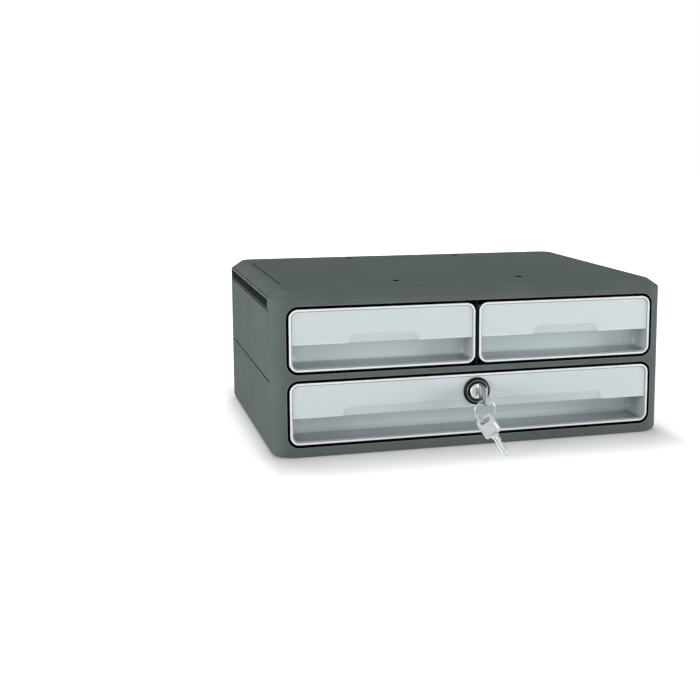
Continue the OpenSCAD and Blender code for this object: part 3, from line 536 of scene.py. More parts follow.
def buildCover():
    # the top cover: a band with a grip slot on each side, the slope, and the top with four stacking
    # recesses in shallow dishes and a fine groove; its grid is fine near the recesses and the slots' ends
    h = housing
    z0, z1, depth = h["coverSeam"], h["coverSeam"] + h["seamGap"], h["seamDepth"]
    profile = softPath([(z0 + 0.05, depth, depth), (z1, depth, depth), (z1, 0, 0), (h["slopeZ"], 0, 0),
                        (h["topZ"], h["slopeX"], h["slopeY"])], (0, 0.25, 0.9), 5)
    profile = np.concatenate([profile[:-1], [profile[-1] * 0.12 + profile[-2] * 0.88], profile[-1:]])
    upright = 7  # the profile's first point on the upright wall
    skin = Skin(shellKnots(), profile, (upright, profile[upright][0]))
    low, high = h["slotY"]
    cellLow = low - 3
    sideY = lines((-coreY, cellLow, 3), (cellLow, cellLow + 6, 0.75), (cellLow + 6, -93, 6),
                  (-93, -70, 1.1), (-70, 106, 6), (106, coreY, 1))
    inner, outer = h["dimpleX"] - 12, h["dimpleX"] + 12
    rearX = lines((-coreX, -outer, 6), (-outer, -inner, 1.2), (-inner, inner, 6), (inner, outer, 1.2),
                  (outer, coreX, 6))
    zLow, zHigh = h["slotZ"]
    cellZ = (zLow - 0.75, zHigh + 0.45)
    outside = skin.b[(skin.b < cellZ[0] - 0.05) | (skin.b > cellZ[1] + 0.02)]
    bLines = np.unique(np.concatenate([lines((*cellZ, 0.8)), outside]))
    rows = openingRows(h["slotLip"], h["slotDepth"], 3)
    stops = shellKnots()[:, 0]
    middle = (low + high) / 2
    holes = [{"cell": (a0, a1, *cellZ), "centre": (centre, (zLow + zHigh) / 2),
              "half": ((high - low) / 2, (zHigh - zLow) / 2), "radius": h["slotR"], "rows": rows}
             for a0, a1, centre in ((cellLow + coreY, 2 * coreY, middle + coreY),
                                    (stops[4], stops[5] - cellLow - coreY, stops[4] + coreY - middle))]
    points, faces = panelWithHoles(shellLines(sideY, rearX), bLines, holes)
    band = (skin.place(points), faces)

    r, deep = h["dimpleR"], h["dimpleDepth"]
    dish = [(-4.6, 0), (-3.4, 0.12), (-2.0, 0.3), (-0.6, 0.45), (0, 0.9), (0, deep), (r / 2, deep),
            (r, deep)]
    offsets = [0, 3.0, 6.6, 11.0]
    topX = coreX - h["slopeX"] + h["slopeY"]
    gridX = rearX * topX / coreX
    gridY = np.concatenate([sideY, coreY + np.array(offsets[1:])])

    def nearest(grid, value):
        return grid[np.argmin(abs(grid - value))]

    recesses = []
    for x in (-h["dimpleX"], h["dimpleX"]):
        for y in h["dimpleY"]:
            cell = (nearest(gridX, x - 10), nearest(gridX, x + 10),
                    nearest(gridY, y - 8.6), nearest(gridY, y + 8.6))
            recesses.append({"cell": cell, "centre": (x, y), "half": (r, r), "radius": r, "rows": dish})
    gx, (front, rear) = h["grooveX"], h["grooveY"]
    half, deep = h["grooveHalf"], h["grooveDepth"]
    recesses.append({"cell": (-topX - offsets[2], -topX - offsets[1], nearest(sideY, front - 2),
                              nearest(sideY, rear + 4)),
                     "centre": (gx, (front + rear) / 2), "half": (half, (rear - front) / 2),
                     "radius": half - 0.05,
                     "rows": [(-0.25, 0), (-0.08, 0.08), (0, 0.3), (0.05, deep), (0.3, deep),
                              (half, deep)]})
    top = plate((h["topZ"], h["slopeX"], h["slopeY"]), rearX, sideY, offsets, recesses)
    points, faces = merged(band, top)
    piece = makePiece("topCover", points, faces, finishes["housing"], "case", "top_cover",
                      awayFrom=(0, 0, 100), wall=h["wall"])

    def paintedShadeFaces(x, y, z):
        # painted near-black shade on the seam's hollow, the slots behind their edges, the recesses and the
        # middle of their dishes
        across, halfW = np.abs(x), h["halfW"]
        seam = (z < z1 - 0.1) & ((across < halfW - 0.3 * depth) | (y > 100))
        slots = (across > halfW - 3.5) & (across < halfW - 0.4) & (y < 120)
        slots &= (z > zLow - 1) & (z < zHigh + 1)
        recessed = (z < h["topZ"] - 0.4) & (across < 160) & (np.abs(y) < 125)
        spot = np.minimum(*(((y - middleY) / 5.2) ** 2 for middleY in h["dimpleY"]))
        spot = spot + ((across - h["dimpleX"]) / 3.3) ** 2
        return seam | slots | recessed | ((z > h["topZ"] - 1) & (spot < 1))

    def grooveShadeFaces(x, y, z):
        # the groove's walls and floor, painted darker as shade
        return (z < h["topZ"] - 0.04) & (z > 140) & (np.abs(x - gx) < 1) & (y > front - 1) & (y < rear + 1)

    def slotHighlightFaces(x, y, z):
        # a painted highlight along the upper edge of each slot
        return ((z > zHigh + 0.05) & (z < zHigh + 0.5) & (np.abs(x) > h["halfW"] - 0.4)
                & (y > low - 1) & (y < high + 1))

    paint(piece, finishes["gap"], paintedShadeFaces)
    paint(piece, finishes["line"], grooveShadeFaces)
    paint(piece, finishes["edge"], slotHighlightFaces)


def buildShells():
    # the middle shell, between its two seams, and the lower shell with its floor; each ends in a ledge
    # that runs in under the next shell
    h = housing
    sideY = lines((-coreY, coreY, 8))
    rearX = lines((-coreX, coreX, 8))
    aLines = shellLines(sideY, rearX)
    z0, z1, d = h["seam"], h["coverSeam"], h["seamDepth"]
    edge, ledge = z0 + h["seamGap"], d + 0.5
    profile = softPath([(z0 + 0.05, d, d), (edge, d, d), (edge, 0, 0), (z1, 0, 0), (z1, ledge, ledge)],
                       (0, 0.25, 0.25), 4)
    upright = 6  # the profile's first point on the upright wall
    skin = Skin(shellKnots(), profile, (upright, profile[upright][0]))
    bLines = np.unique(np.concatenate([skin.b, lines((70, 122, 9))]))
    points, faces = panelWithHoles(aLines, bLines, [])
    piece = makePiece("middleShell", skin.place(points), faces, finishes["housing"], "case",
                      "middle_shell", awayFrom=(0, 0, 96), wall=h["wall"])
    # the seam's hollow and the top ledge painted near-black as shade
    paint(piece, finishes["gap"], lambda x, y, z: (z < edge - 0.1) | (z > z1 - 0.1))
    rounding = bottomRounding()
    upper = softPath([(50, 0, 0), (z0, 0, 0), (z0, ledge, ledge)], (0.25,), 4)
    profile = np.concatenate([rounding, upper])
    skin = Skin(shellKnots(), profile, (len(rounding) - 1, rounding[-1][0]))
    bLines = np.unique(np.concatenate([skin.b, lines((12, 56, 11))]))
    points, faces = panelWithHoles(aLines, bLines, [])
    level = (h["lowZ"], h["edgeR"], h["edgeY"])
    radius = h["cornerR"] - h["edgeY"]
    floor = plate(level, rearX, sideY, [0, radius / 2, radius])
    points, faces = merged((skin.place(points), faces), floor)
    piece = makePiece("lowerShell", points, faces, finishes["housing"], "case", "lower_shell",
                      awayFrom=(0, 0, 40), wall=h["wall"])
    # the top ledge painted near-black as shade
    paint(piece, finishes["gap"], lambda x, y, z: z > z0 - 0.1)


buildFrame()
buildCover()
buildShells()
print("stage: housing built")


# grip strips

grip = {
    "y": (-114.2, 117.7), "z": (129.2, 137.3), "back": 182.6, "crest": 184.05, "valley": 183.2, "ribs": 4,
}


def buildGrips():
    # a strip whose outer face is a row of rounded ribs along y: x swings between valley and crest with
    # the squared sine of the height; all of it is painted shade, darkest in the valleys and on the top edge
    g = grip
    z = np.linspace(g["z"][0], g["z"][1], 65)
    swing = np.sin(np.pi * g["ribs"] * (z - z[0]) / (z[-1] - z[0])) ** 2
    x = g["valley"] + (g["crest"] - g["valley"]) * swing ** 0.6
    outline = np.concatenate([[(g["back"], z[0])], np.stack([x, z], 1), [(g["back"], z[-1])]])
    y = np.linspace(g["y"][0], g["y"][1], 24)
    for side, name in ((-1, "left"), (1, "right")):
        yy, xx = np.meshgrid(y, side * outline[:, 0], indexing="ij")
        zz = np.broadcast_to(outline[:, 1], yy.shape)
        tube = np.stack([xx, yy, zz], -1).reshape(-1, 3)
        piece = makePiece(f"gripStrip{name.capitalize()}", tube, tubeFaces(*yy.shape), finishes["gripShade"],
                          "case", f"grip_strip_{name}", angle=50)
        # the valleys and the top edge painted near-black as shade
        paint(piece, finishes["gap"],
              lambda x, y, z: (np.abs(x) < g["valley"] + 0.5) | (z > g["z"][1] - 1.3))


buildGrips()
print("stage: grip strips built")


# drawer fronts

drawer = {
    "frontY": -137.5, "height": 54.55, "cornerR": 8.0, "rimW": 2.4, "rimH": 1.0, "plateT": 2.2,
    "lipH": 23.25, "lipR": 1.1, "ceilingR": 2.0, "floorR": 6.0, "recessR": 10.0, "scoopH": 8.0,
    "scoopTop": 0.3, "scoopLip": 1.1, "wall": 1.1, "rimEdgeOut": 0.5, "rimEdgeIn": 0.45, "rimCrest": 1.45,
    "colour": (0.7, 0.775, 0.797),
}
upperFront = {"width": 167.8, "z0": 76.05, "recess": 25.0, "scoopW": 64.0, "floorBand": 1.8}
fronts = [
    {"name": "upperLeft", "node": "upper_left_front", "body": "upper_left_drawer", "x": -85.8,
     "floorShade": 0.62, **upperFront},
    {"name": "upperRight", "node": "upper_right_front", "body": "upper_right_drawer", "x": 85.8,
     "floorShade": 0.72, **upperFront},
    {"name": "lower", "node": "lower_front", "body": "lower_drawer", "x": 0.0, "width": 339.4, "z0": 11.5,
     "recess": 34.0, "scoopW": 246.0, "floorBand": 0.1, "floorShade": 0.66},
]


def cornerDrop(x, half, radius):
    # how far a round corner of that radius lies inside the square one at x
    over = np.clip(np.abs(x) - (half - radius), 0, radius)
    return radius - np.sqrt(np.maximum(radius ** 2 - over ** 2, 0))


def buildRim(f):
    # the raised rim: a flat band with rounded edges carried round a rounded rectangle; inside, it runs
    # down to the plate in a small hollow
    d = drawer
    middleZ = f["z0"] + d["height"] / 2
    t = np.linspace(0, np.pi / 2, 5)
    outer, inner, crest = d["rimEdgeOut"], d["rimEdgeIn"], d["rimCrest"]
    back, foot = d["rimH"] + d["plateT"], d["rimW"] + outer
    section = [(0, back), (0, 1.8), (0, 0.9)]
    section += [(outer * (1 - math.cos(v)), outer * (1 - math.sin(v))) for v in t]
    section += [(crest + inner * math.sin(v), inner * (1 - math.cos(v))) for v in t]
    section += [(2.1, 0.8), (2.35, 0.98), (foot, d["rimH"] + 0.02), (foot, d["rimH"] + 0.7), (foot, back)]
    rows = []
    for inset, depth in section:
        loop = roundRectLoop(f["width"] / 2 - inset, d["height"] / 2 - inset, d["cornerR"] - inset)
        rows.append(np.stack([f["x"] + loop[:, 0], np.full(len(loop), d["frontY"] + depth),
                              middleZ + loop[:, 1]], 1))
    faces = gridFaces(len(rows), len(rows[0]), closeRows=True, closeCols=True)
    piece = makePiece(f["name"] + "Rim", np.concatenate(rows), faces, finishes["rim"], f["body"],
                      angle=50)

    def inward(x, z):
        return -pastRoundRect(x, z, (f["x"], middleZ), (f["width"] / 2, d["height"] / 2), d["cornerR"])

    # the rim's near-white crest is a painted highlight; its inner slope is painted grey shade, and its
    # sides in the gap near-black shade
    paint(piece, finishes["rimShade"], lambda x, y, z: inward(x, z) > crest + 0.25)
    paint(piece, finishes["gap"], lambda x, y, z: (inward(x, z) < 0.1) & (y > d["frontY"] + 0.6))


def frontFinish(f):
    # the glossy front plastic, with darker tones where little light comes in
    d = drawer
    half, scoop = f["width"] / 2 - d["rimW"], f["scoopW"] / 2
    plateY, backY = d["frontY"] + d["rimH"], d["frontY"] + f["recess"]
    lipZ, bandZ = f["z0"] + d["lipH"], f["z0"] + d["rimW"] + f["floorBand"]
    scoopH = d["scoopH"]

    def shadows(graph, px, py, pz):
        # painted shade on the thumb scoop, and inside the recess on its floor, its depth and its two ends
        ramp = graph.ramp
        off = (px - f["x"]).maths("ABSOLUTE")
        deep = ramp(py, plateY + 1.5, plateY + f["recess"] * 0.5)
        under = ramp(pz, lipZ + scoopH + 0.3, lipZ + scoopH - 1) * ramp(pz, lipZ - 1, lipZ)
        rise = (pz - lipZ) * (1 / scoopH)
        corner = (1 - rise * rise).maths("MAXIMUM", 0.0).maths("SQRT") * scoopH + (scoop - scoopH)
        within = ramp(corner - off, -0.3, 0.9)
        floor = ramp(pz, bandZ + 1.2, bandZ) * ramp(py, plateY + 0.3, plateY + 0.8)
        ends = ramp(off, half - 9, half - 3) * ramp(py, plateY + 0.6, plateY + 2) * ramp(pz, lipZ, lipZ - 1)
        return [(within * under * ramp(py, plateY + 3, plateY + 2), 0.9), (floor, f["floorShade"]),
                (floor * ramp(py, backY - 8, plateY + 1), 0.75),
                (deep * ramp(off, half - 16, half - 3), 0.8), (ends, 0.62)]

    return plastic(f["name"] + "PanelPlastic", d["colour"], 0.32, grain=0.00001, spread=0.015, coat=0.2,
                   shadows=shadows)


def buildPanel(f):
    # plate, lip and finger recess in one sheet: for each x the profile goes down the plate, round the
    # lip, back along the ceiling, down the rear wall and forward along the floor; rows holds its (y, z)
    d = drawer
    half, scoop = f["width"] / 2 - d["rimW"], f["scoopW"] / 2
    lipR, ceilingR, floorR, scoopH = d["lipR"], d["ceilingR"], d["floorR"], d["scoopH"]
    plateY, backY = d["frontY"] + d["rimH"], d["frontY"] + f["recess"]
    lipZ, floorZ = f["z0"] + d["lipH"], f["z0"] + d["rimW"]
    x = lines((-half, 12 - half, 0.75), (12 - half, -scoop - 2, 5), (-scoop - 2, 9 - scoop, 0.4),
              (9 - scoop, scoop - 9, 5), (scoop - 9, scoop + 2, 0.4), (scoop + 2, half - 12, 5),
              (half - 12, half, 0.75))
    drop = cornerDrop(x, half, d["cornerR"] - d["rimW"])
    top = f["z0"] + d["height"] - d["rimW"] - drop
    low = floorZ + drop
    back = backY - cornerDrop(x, half, d["recessR"])

    def plateRow(z):
        # the scoop: its upper corners are quarter circles, and it grows deeper downwards
        up = np.clip((z - lipZ) / scoopH, 0, 1)
        edge = scoop - scoopH * (1 - np.sqrt(np.maximum(1 - up ** 2, 0)))
        inside = smooth(edge - np.abs(x), -0.5, 0.5) * (1 - smooth(z - lipZ, scoopH - 0.5, scoopH + 0.5))
        sunk = inside * (d["scoopLip"] + (d["scoopTop"] - d["scoopLip"]) * up)
        return np.broadcast_to(plateY + sunk, x.shape), np.broadcast_to(z, x.shape)

    shoulder = lipZ + 11.5
    rows = [(np.full_like(x, plateY), top * (1 - t) + shoulder * t) for t in np.linspace(0, 1, 7)]
    scoopRows = [np.linspace(lipZ + 10.5, lipZ + 9.2, 3), np.arange(lipZ + 8.9, lipZ + 6.9, -0.25),
                 np.linspace(lipZ + 6.5, lipZ + lipR, 9)]
    rows += [plateRow(z) for z in np.concatenate(scoopRows)]
    lipY = rows[-1][0]
    for t in np.linspace(0, np.pi / 2, 7)[1:]:
        rows.append((lipY + lipR * (1 - math.cos(t)), np.full_like(x, lipZ + lipR * (1 - math.sin(t)))))
    first = len(rows) - 1  # the end of the lip: each side's face begins here
    lipEnd, ceilingEnd = rows[-1][0], back - ceilingR
    rows += [(lipEnd * (1 - t) + ceilingEnd * t, np.full_like(x, lipZ)) for t in (0.33, 0.66)]
    for t in np.linspace(0, np.pi / 2, 6):
        fall = ceilingR * (1 - math.cos(t))
        rows.append((back - ceilingR * (1 - math.sin(t)), np.full_like(x, lipZ - fall)))
    upper, lower = lipZ - ceilingR, low + floorR
    rows += [(back, upper * (1 - t) + lower * t) for t in (0.3, 0.65)]
    for t in np.linspace(0, np.pi / 2, 8):
        rows.append((back - floorR * (1 - math.cos(t)), low + floorR * (1 - math.sin(t))))
    floorStart, floorEnd = back - floorR, plateY + 0.3
    rows += [(floorStart * (1 - t) + floorEnd * t, low) for t in (0.35, 0.7, 1.0)]
    points = np.concatenate([np.stack([x + f["x"], y, z], 1) for y, z in rows])
    faces = gridFaces(len(rows), len(x)).tolist()
    faces += [[k * len(x) + column for k in range(first, len(rows))] for column in (0, len(x) - 1)]
    piece = makePiece(f["name"] + "Panel", points, faces, frontFinish(f), f["body"],
                      f["node"], awayFrom=(f["x"], 60, f["z0"] + 20), wall=d["wall"])
    # the lip's rounding, away from the scoop, painted near-white as a highlight
    paint(piece, finishes["rim"], lambda x, y, z: (z < lipZ + lipR) & (z > lipZ + 0.1) & (y < plateY + 1.2)
          & (np.abs(x - f["x"]) > scoop + 0.5))


for front in fronts:
    buildPanel(front)
    buildRim(front)
print("stage: drawer fronts built")


# lock

lock = {
    "centre": (0.0, 50.15), "bezelY": -139.6, "bezelR": 12.5, "bezelT": 3.1, "boreR": 7.3, "plugR": 6.8,
    "plugRound": 0.7, "plugY": -139.9, "plugEnd": -116.6, "slotDepth": 16.0, "ringR": 9.75,
    "ringHalf": (0.2, 0.16), "keyT": 1.8, "bladeW": 5.6, "gap": 0.3,
}


def buildLock():
    # the black bezel is a turned profile; a thin ring, turned from an ellipse, lies in its groove
    c, y = lock["centre"], lock["bezelY"]
    r, boreR, rearY = lock["bezelR"], lock["boreR"], lock["bezelY"] + lock["bezelT"]
    profile = softPath([(boreR, rearY), (boreR, y + 0.15), (9.2, y), (9.45, y + 0.35), (10.2, y + 0.35),
                        (r - 1.3, y + 0.5), (r, y + 1.9), (r, rearY)], (0.3, 0.1, 0.15, 0.3, 0.5, 0.6), 4)
    points, faces = revolve(np.concatenate([profile, profile[:1]]), c)
    makePiece("lockBezel", points, faces, finishes["bezel"], "lower_drawer", "lock_bezel",
              angle=50)
    t = np.linspace(0, 2 * np.pi, 17)
    halfR, halfY = lock["ringHalf"]
    wire = np.stack([lock["ringR"] + halfR * np.cos(t), y + 0.32 + halfY * np.sin(t)], 1)
    points, faces = revolve(wire, c)
    makePiece("bezelRing", points, faces, finishes["nickel"], "lower_drawer")


def buildPlug():
    # the plug's face is a disc with a slot for the key: a ring grid from the round edge to the slot,
    # then down the slot's walls; behind it the plug's side
    c, r, plugY, rounding = lock["centre"], lock["plugR"], lock["plugY"], lock["plugRound"]
    w, h = lock["keyT"] / 2 + lock["gap"], lock["bladeW"] / 2 + lock["gap"]
    circle = unitCircle(96)
    slot = ontoRoundRect(circle * 6, np.zeros(2), (w, h), 0.35)
    rows = [(circle * r, lock["plugEnd"]), (circle * r, plugY + rounding)]
    for t in np.linspace(0, np.pi / 2, 6)[1:]:
        rows.append((circle * (r - rounding * (1 - math.cos(t))), plugY + rounding * (1 - math.sin(t))))
    rim = circle * (r - rounding)
    rows += [(rim * (1 - t) + slot * 1.03 * t, plugY) for t in (0.3, 0.6, 0.85)]
    rows += [(slot * 1.05, plugY), (slot, plugY + 0.15), (slot, plugY + lock["slotDepth"]),
             (slot * 0.01, plugY + lock["slotDepth"])]
    points = np.concatenate([np.stack([c[0] + p[:, 0], np.full(len(p), y), c[1] + p[:, 1]], 1)
                             for p, y in rows])
    faces = gridFaces(len(rows), len(circle), closeCols=True).tolist() + [list(range(len(circle)))]
    piece = makePiece("lockPlug", points, faces, finishes["bright"], "plug", "lock_plug",
                      angle=40, weld=0.002)
    # the keyway's walls painted near-black as shade
    paint(piece, finishes["gap"], lambda x, y, z: (y > plugY + 0.1) & (np.hypot(x - c[0], z - c[1]) < 5))


buildLock()
buildPlug()
print("stage: lock built")


# keys and ring

key = {
    "length": 41.0, "bowL": 19.5, "bowW": 16.5, "bowR": 2.6, "thick": 1.8, "bladeW": 5.6, "slotL": 9.5,
    "slotH": 3.6, "slotCentre": 4.2, "edge": 0.35, "panel": 0.18, "groove": 0.42, "bevel": 0.55,
    "slotY": -160.1, "ringR": 9.65, "ringZ": 36.75, "ringYaw": 5.0, "wireHalf": (0.62, 0.3),
    "lean": 42.0, "tilt": 20.7, "twist": -35.0, "shift": 0.5,
    # the cut edge of the blade: distance from the bow's lower end, and from the plain blade's edge
    "cuts": ((-1.5, 1), (1.5, 1), (2.5, 0), (6, 0), (7.5, -1), (9.5, -0.4), (11.5, -1.4), (13.5, -0.8),
             (15.5, -1.6), (17.5, -0.5)),
}


def keyBow():
    # a ring of sections between the bow's outline and its slot, with rounded edges and a sunk panel on
    # each side; the middle of the slot is the origin
    k = key
    midZ = k["slotCentre"] - k["bowL"] / 2
    middle = np.array([0, midZ])
    circle = unitCircle(160)
    outer = ontoRoundRect(circle * 30, np.zeros(2), (k["bowW"] / 2, k["bowL"] / 2), k["bowR"]) + middle
    hole = ontoRoundRect(circle * 20, np.zeros(2), (k["slotL"] / 2, k["slotH"] / 2), k["slotH"] / 2 - 0.1)
    e, half = k["edge"], k["thick"] / 2
    turns = np.linspace(0, np.pi / 2, 5)

    def rounded(outline, centre, reach, v):
        # the outline moved away from centre along a quarter circle, and its height there
        out = outline - centre
        out = out / np.linalg.norm(out, axis=1, keepdims=True)
        y = np.full(len(outline), half - e * (1 - math.sin(v)))
        return outline + out * reach * (1 - math.cos(v)), y

    def flat(t):
        p = outer * (1 - t) + hole * t
        sunk = smooth(k["bowW"] / 2 - 2 - np.abs(p[:, 0]), 0, 0.3)
        sunk = sunk * smooth(3.7 - np.abs(p[:, 1] - (k["slotCentre"] - k["bowL"]) - 6), 0, 0.3)
        return p, half - sunk * k["panel"]

    rows = [rounded(outer, middle, -e, v) for v in turns]
    rows += [flat(t) for t in np.linspace(0, 1, 26)[1:-1]]
    rows += [rounded(hole, np.zeros(2), e, v) for v in turns[::-1]]
    front = np.stack([np.stack([p[:, 0], y, p[:, 1]], 1) for p, y in rows])
    bow = np.concatenate([front, front[::-1] * (1, -1, 1)]).reshape(-1, 3)
    return bow, gridFaces(2 * len(rows), len(circle), closeRows=True, closeCols=True)


def keyBlade():
    # an outline of two edges that change with z, swept as a flat section with bevelled edges, a groove
    # along each side and a tip that grows thin
    k = key
    low, tip = k["slotCentre"] - k["bowL"], k["slotCentre"] - k["length"]
    w, half = k["bladeW"] / 2, k["thick"] / 2
    right = np.array([(low - far, w + out) for far, out in k["cuts"]] + [(tip + 3, w - 1), (tip, 0.2)])
    left = np.array([(low + 1.5, -w - 1), (low - 1.5, -w - 1), (low - 2.5, -w), (tip + 3, -w), (tip, -0.8)])
    z = lines((tip, low + 1.5, 0.2))[::-1, None]
    xr, xl = (np.interp(z, side[::-1, 0], side[::-1, 1]) for side in (right, left))
    u = np.array([0, 0.06, 0.14, 0.24, 0.3, 0.36, 0.44, 0.6, 0.78, 0.9, 0.96, 1.0])  # share of the width
    groove = smooth(u, 0.22, 0.3) * (1 - smooth(u, 0.38, 0.46))
    groove = groove * smooth(z, tip + 1.5, tip + 2.5) * (1 - smooth(z, low - 3, low - 2))
    bevel = 1 - k["bevel"] * (1 - smooth(np.minimum(u, 1 - u), 0, 0.08))
    y = (half * bevel - k["groove"] * groove) * (smooth(z, tip - 1, tip + 1.2) * 0.4 + 0.6)
    x = xl + (xr - xl) * u
    front = np.stack([x, -y, np.broadcast_to(z, x.shape)], -1)
    blade = np.concatenate([front, (front * (1, -1, 1))[:, ::-1]], 1)
    return blade.reshape(-1, 3), tubeFaces(len(z), 2 * len(u))


def buildKeys():
    # both keys have one shape, which hangs tip down: the first lies level in the lock, the spare one
    # hangs twisted, tilted and leaning in the ring
    k = key
    points, faces = merged(keyBow(), keyBlade())
    inserted = turned(turned(points, "z", 90), "x", 90) + (0, k["slotY"], lock["centre"][1])
    makePiece("insertedKey", inserted, faces, finishes["nickel"], "inserted_key", "key_in_lock",
              angle=32, weld=0.001)
    spare = points + (k["shift"], 0, 0)
    spare = turned(turned(turned(spare, "z", k["twist"]), "y", -k["tilt"]), "x", -k["lean"])
    spare = spare + (0, k["slotY"], k["ringZ"] - k["ringR"])
    makePiece("spareKey", spare, faces, finishes["nickel"], "spare", "spare_key", angle=32,
              weld=0.001)


def buildRing():
    # a split ring: two flat turns side by side, carried round by a path that steps over at one place;
    # its section is a superellipse
    k = key
    turn = np.linspace(0.03, 2 - 0.03, 220)[:, None]
    step = (smooth(turn, 0.86, 1.14) - 0.5) * 0.66
    t = np.linspace(0, 2 * np.pi, 13)[:-1]
    radial, axial = (half * np.sign(v) * np.abs(v) ** 0.7
                     for half, v in zip(k["wireHalf"], (np.cos(t), np.sin(t))))
    phi = 2 * np.pi * turn + 1.9
    r = k["ringR"] + radial
    points = np.stack([r * np.cos(phi), step + axial, r * np.sin(phi)], -1).reshape(-1, 3)
    points = turned(points, "z", k["ringYaw"]) + (0, k["slotY"], k["ringZ"])
    makePiece("splitRing", points, tubeFaces(len(turn), len(t)), finishes["nickel"], "ring",
              "key_ring", angle=50, weld=0.001)


buildKeys()
buildRing()
print("stage: keys built")


# finishes of the parts that keep their plain form

plainFinish = {
    "shelf": "inside", "partition": "post", "glide_rails": "glide", "shell_screws": "steel",
    "frame_screws": "steel", "rubber_feet": "rubber", "lock_keeper": "steel", "keeper_screws": "steel",
    "upper_left_tray": "tray", "upper_right_tray": "tray", "lower_tray": "tray",
    "upper_left_screws": "steel", "upper_right_screws": "steel", "lower_screws": "steel",
    "lock_barrel": "nickel", "lock_nut": "steel", "lock_cam": "steel", "cam_screw": "steel",
}
for name, finish in plainFinish.items():
    nodes[name].data.materials.clear()
    nodes[name].data.materials.append(finishes[finish])
print("stage: plain parts finished")


# floor, light and camera

studio = {
    "floorColour": (0.9, 0.9, 0.9), "floorHalf": 6.0, "nearGlow": 0.12, "midGlow": 0.5, "ambient": 0.25,
    "footprint": (0.18, 0.13, 0), "sideWeight": 4.0, "nearReach": (0.0, 0.09), "farReach": (0.5, 1.4),
}
lamps = {  # place, target, size, power
    "keySoftbox": ((-2.3, -0.7, 0.45), (0, 0, 0.06), (1.6, 0.8), 36.0),
    "fillSoftbox": ((2.3, -1.0, 0.4), (0, 0, 0.06), (1.4, 0.7), 38.0),
    "lowSoftbox": ((0.3, -2.5, 0.3), (0, 0, 0.06), (2.0, 0.5), 3.0),
    "topSoftbox": ((0.0, 1.1, 2.2), (0, 0, 0.1), (1.8, 1.2), 27.0),
}
view = {  # pixels of the picture, radians, and millimetres
    "picture": 700, "centreU": 452.93, "centreV": 319.32, "focal": 1217.39, "yaw": 0.306, "pitch": 0.157,
    "roll": -0.005, "distance": 1081.1, "aim": (-23.05, -137.5, 116.5), "sensor": 36.0,
}


def seenDirectly(tree):
    # 1 for rays from the camera, from a reflection or through glass, and 0 for light that falls on things
    path = tree.nodes.new("ShaderNodeLightPath")
    total = path.outputs["Is Camera Ray"]
    for name in ("Is Glossy Ray", "Is Transmission Ray"):
        most = tree.nodes.new("ShaderNodeMath")
        most.operation = "MAXIMUM"
        tree.links.new(total, most.inputs[0])
        tree.links.new(path.outputs[name], most.inputs[1])
        total = most.outputs[0]
    return total


def floorMaterial():
    # a pale surface that takes the shadow; where it is seen, a glow that grows with the distance from
    # the object's footprint lifts it to white: length(max(abs(place) - footprint, 0) * weights)
    material = bpy.data.materials.new("stageFloor")
    material.use_nodes = True
    tree = material.node_tree
    tree.nodes.clear()

    def join(kind, *inputs):
        node = tree.nodes.new(kind)
        for socket, value in zip(node.inputs, inputs):
            if value is not None:
                tree.links.new(value, socket)
        return node

    def vectorMath(operation, vector, other=(0, 0, 0)):
        node = join("ShaderNodeVectorMath", vector)
        node.operation = operation
        node.inputs[1].default_value = other
        return node.outputs["Value" if operation == "LENGTH" else "Vector"]

    def reach(low, high):
        node = join("ShaderNodeMapRange", away)
        node.interpolation_type = "SMOOTHSTEP"
        node.inputs["From Min"].default_value, node.inputs["From Max"].default_value = low, high
        return node.outputs[0]

    def glow(strength):
        node = tree.nodes.new("ShaderNodeEmission")
        node.inputs["Strength"].default_value = strength
        return node.outputs[0]

    place = tree.nodes.new("ShaderNodeTexCoord").outputs["Object"]
    beyond = vectorMath("SUBTRACT", vectorMath("ABSOLUTE", place), studio["footprint"])
    outside = vectorMath("MULTIPLY", vectorMath("MAXIMUM", beyond), (studio["sideWeight"], 1, 1))
    away = vectorMath("LENGTH", outside)
    near = join("ShaderNodeMixShader", reach(*studio["nearReach"]), glow(studio["nearGlow"]),
                glow(studio["midGlow"]))
    far = join("ShaderNodeMixShader", reach(*studio["farReach"]), near.outputs[0], glow(1.0))
    shown = join("ShaderNodeMixShader", seenDirectly(tree), None, far.outputs[0])
    pale = tree.nodes.new("ShaderNodeBsdfDiffuse")
    pale.inputs["Color"].default_value = (*studio["floorColour"], 1)
    both = join("ShaderNodeAddShader", pale.outputs[0], shown.outputs[0])
    join("ShaderNodeOutputMaterial", both.outputs[0])
    return material


def buildFloor():
    size = studio["floorHalf"]
    mesh = bpy.data.meshes.new("studioFloor")
    corners = [(-size, -size, 0), (size, -size, 0), (size, size, 0), (-size, size, 0)]
    mesh.from_pydata(corners, [], [(0, 1, 2, 3)])
    floor = bpy.data.objects.new("studioFloor", mesh)
    bpy.context.scene.collection.objects.link(floor)
    mesh.materials.append(floorMaterial())


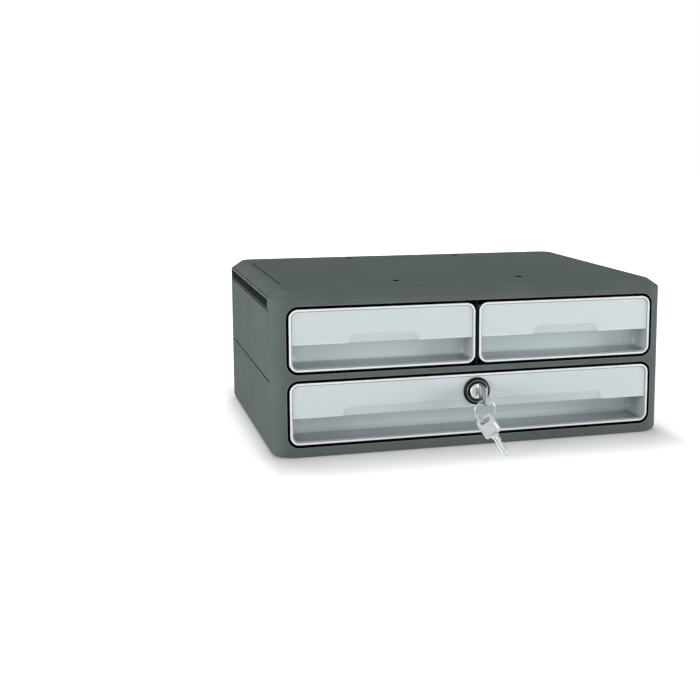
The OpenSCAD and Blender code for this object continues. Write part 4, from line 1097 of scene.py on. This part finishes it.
def buildWorld():
    # white where it is seen, and a soft light on the object
    world = bpy.data.worlds.new("studioWorld")
    bpy.context.scene.world = world
    world.use_nodes = True
    tree = world.node_tree
    tree.nodes.clear()
    mix, out = tree.nodes.new("ShaderNodeMixShader"), tree.nodes.new("ShaderNodeOutputWorld")
    tree.links.new(seenDirectly(tree), mix.inputs[0])
    for socket, strength in ((1, studio["ambient"]), (2, 1.0)):
        light = tree.nodes.new("ShaderNodeBackground")
        light.inputs["Color"].default_value = (1, 1, 1, 1)
        light.inputs["Strength"].default_value = strength
        tree.links.new(light.outputs[0], mix.inputs[socket])
    tree.links.new(mix.outputs[0], out.inputs[0])


def standing(x, y, z, place):
    # the matrix of an object with those three axes at that place
    return Matrix([[x[k], y[k], z[k], place[k]] for k in range(3)] + [[0, 0, 0, 1]])


def areaLight(name, place, target, size, power):
    # a rectangle at place that faces target, its shorter side upright
    light = bpy.data.lights.new(name, "AREA")
    light.shape = "RECTANGLE"
    light.size, light.size_y = size
    light.energy = power
    lamp = bpy.data.objects.new(name, light)
    bpy.context.scene.collection.objects.link(lamp)
    direction = np.array(place) - np.array(target)
    direction = direction / np.linalg.norm(direction)
    side = np.cross((0, 0, 1), direction)
    side = side / np.linalg.norm(side)
    lamp.matrix_world = standing(side, np.cross(direction, side), direction, place)


def buildCamera():
    # it looks ahead, turned by yaw to the right and by pitch down, then rolls about that direction, and
    # stands at that distance from the aim; its principal point lies off the picture's middle
    sinYaw, cosYaw = math.sin(view["yaw"]), math.cos(view["yaw"])
    sinPitch, cosPitch = math.sin(view["pitch"]), math.cos(view["pitch"])
    sinRoll, cosRoll = math.sin(view["roll"]), math.cos(view["roll"])
    ahead = np.array([sinYaw * cosPitch, cosYaw * cosPitch, -sinPitch])
    right = np.array([cosYaw, -sinYaw, 0.0])
    down = np.cross(ahead, right)
    right, down = cosRoll * right + sinRoll * down, -sinRoll * right + cosRoll * down
    data = bpy.data.cameras.new("studioCamera")
    data.sensor_width = view["sensor"]
    data.lens = view["focal"] * view["sensor"] / view["picture"]
    data.shift_x = (view["picture"] / 2 - view["centreU"]) / view["picture"]
    data.shift_y = (view["centreV"] - view["picture"] / 2) / view["picture"]
    data.clip_start, data.clip_end = 0.05, 50
    camera = bpy.data.objects.new("studioCamera", data)
    bpy.context.scene.collection.objects.link(camera)
    camera.matrix_world = standing(right, -down, -ahead, (view["aim"] - view["distance"] * ahead) * mm)
    bpy.context.scene.camera = camera


buildFloor()
buildWorld()
for name, settings in lamps.items():
    areaLight(name, *settings)
buildCamera()
bpy.context.scene.view_settings.view_transform = "Standard"
print("stage: floor, light and camera set")
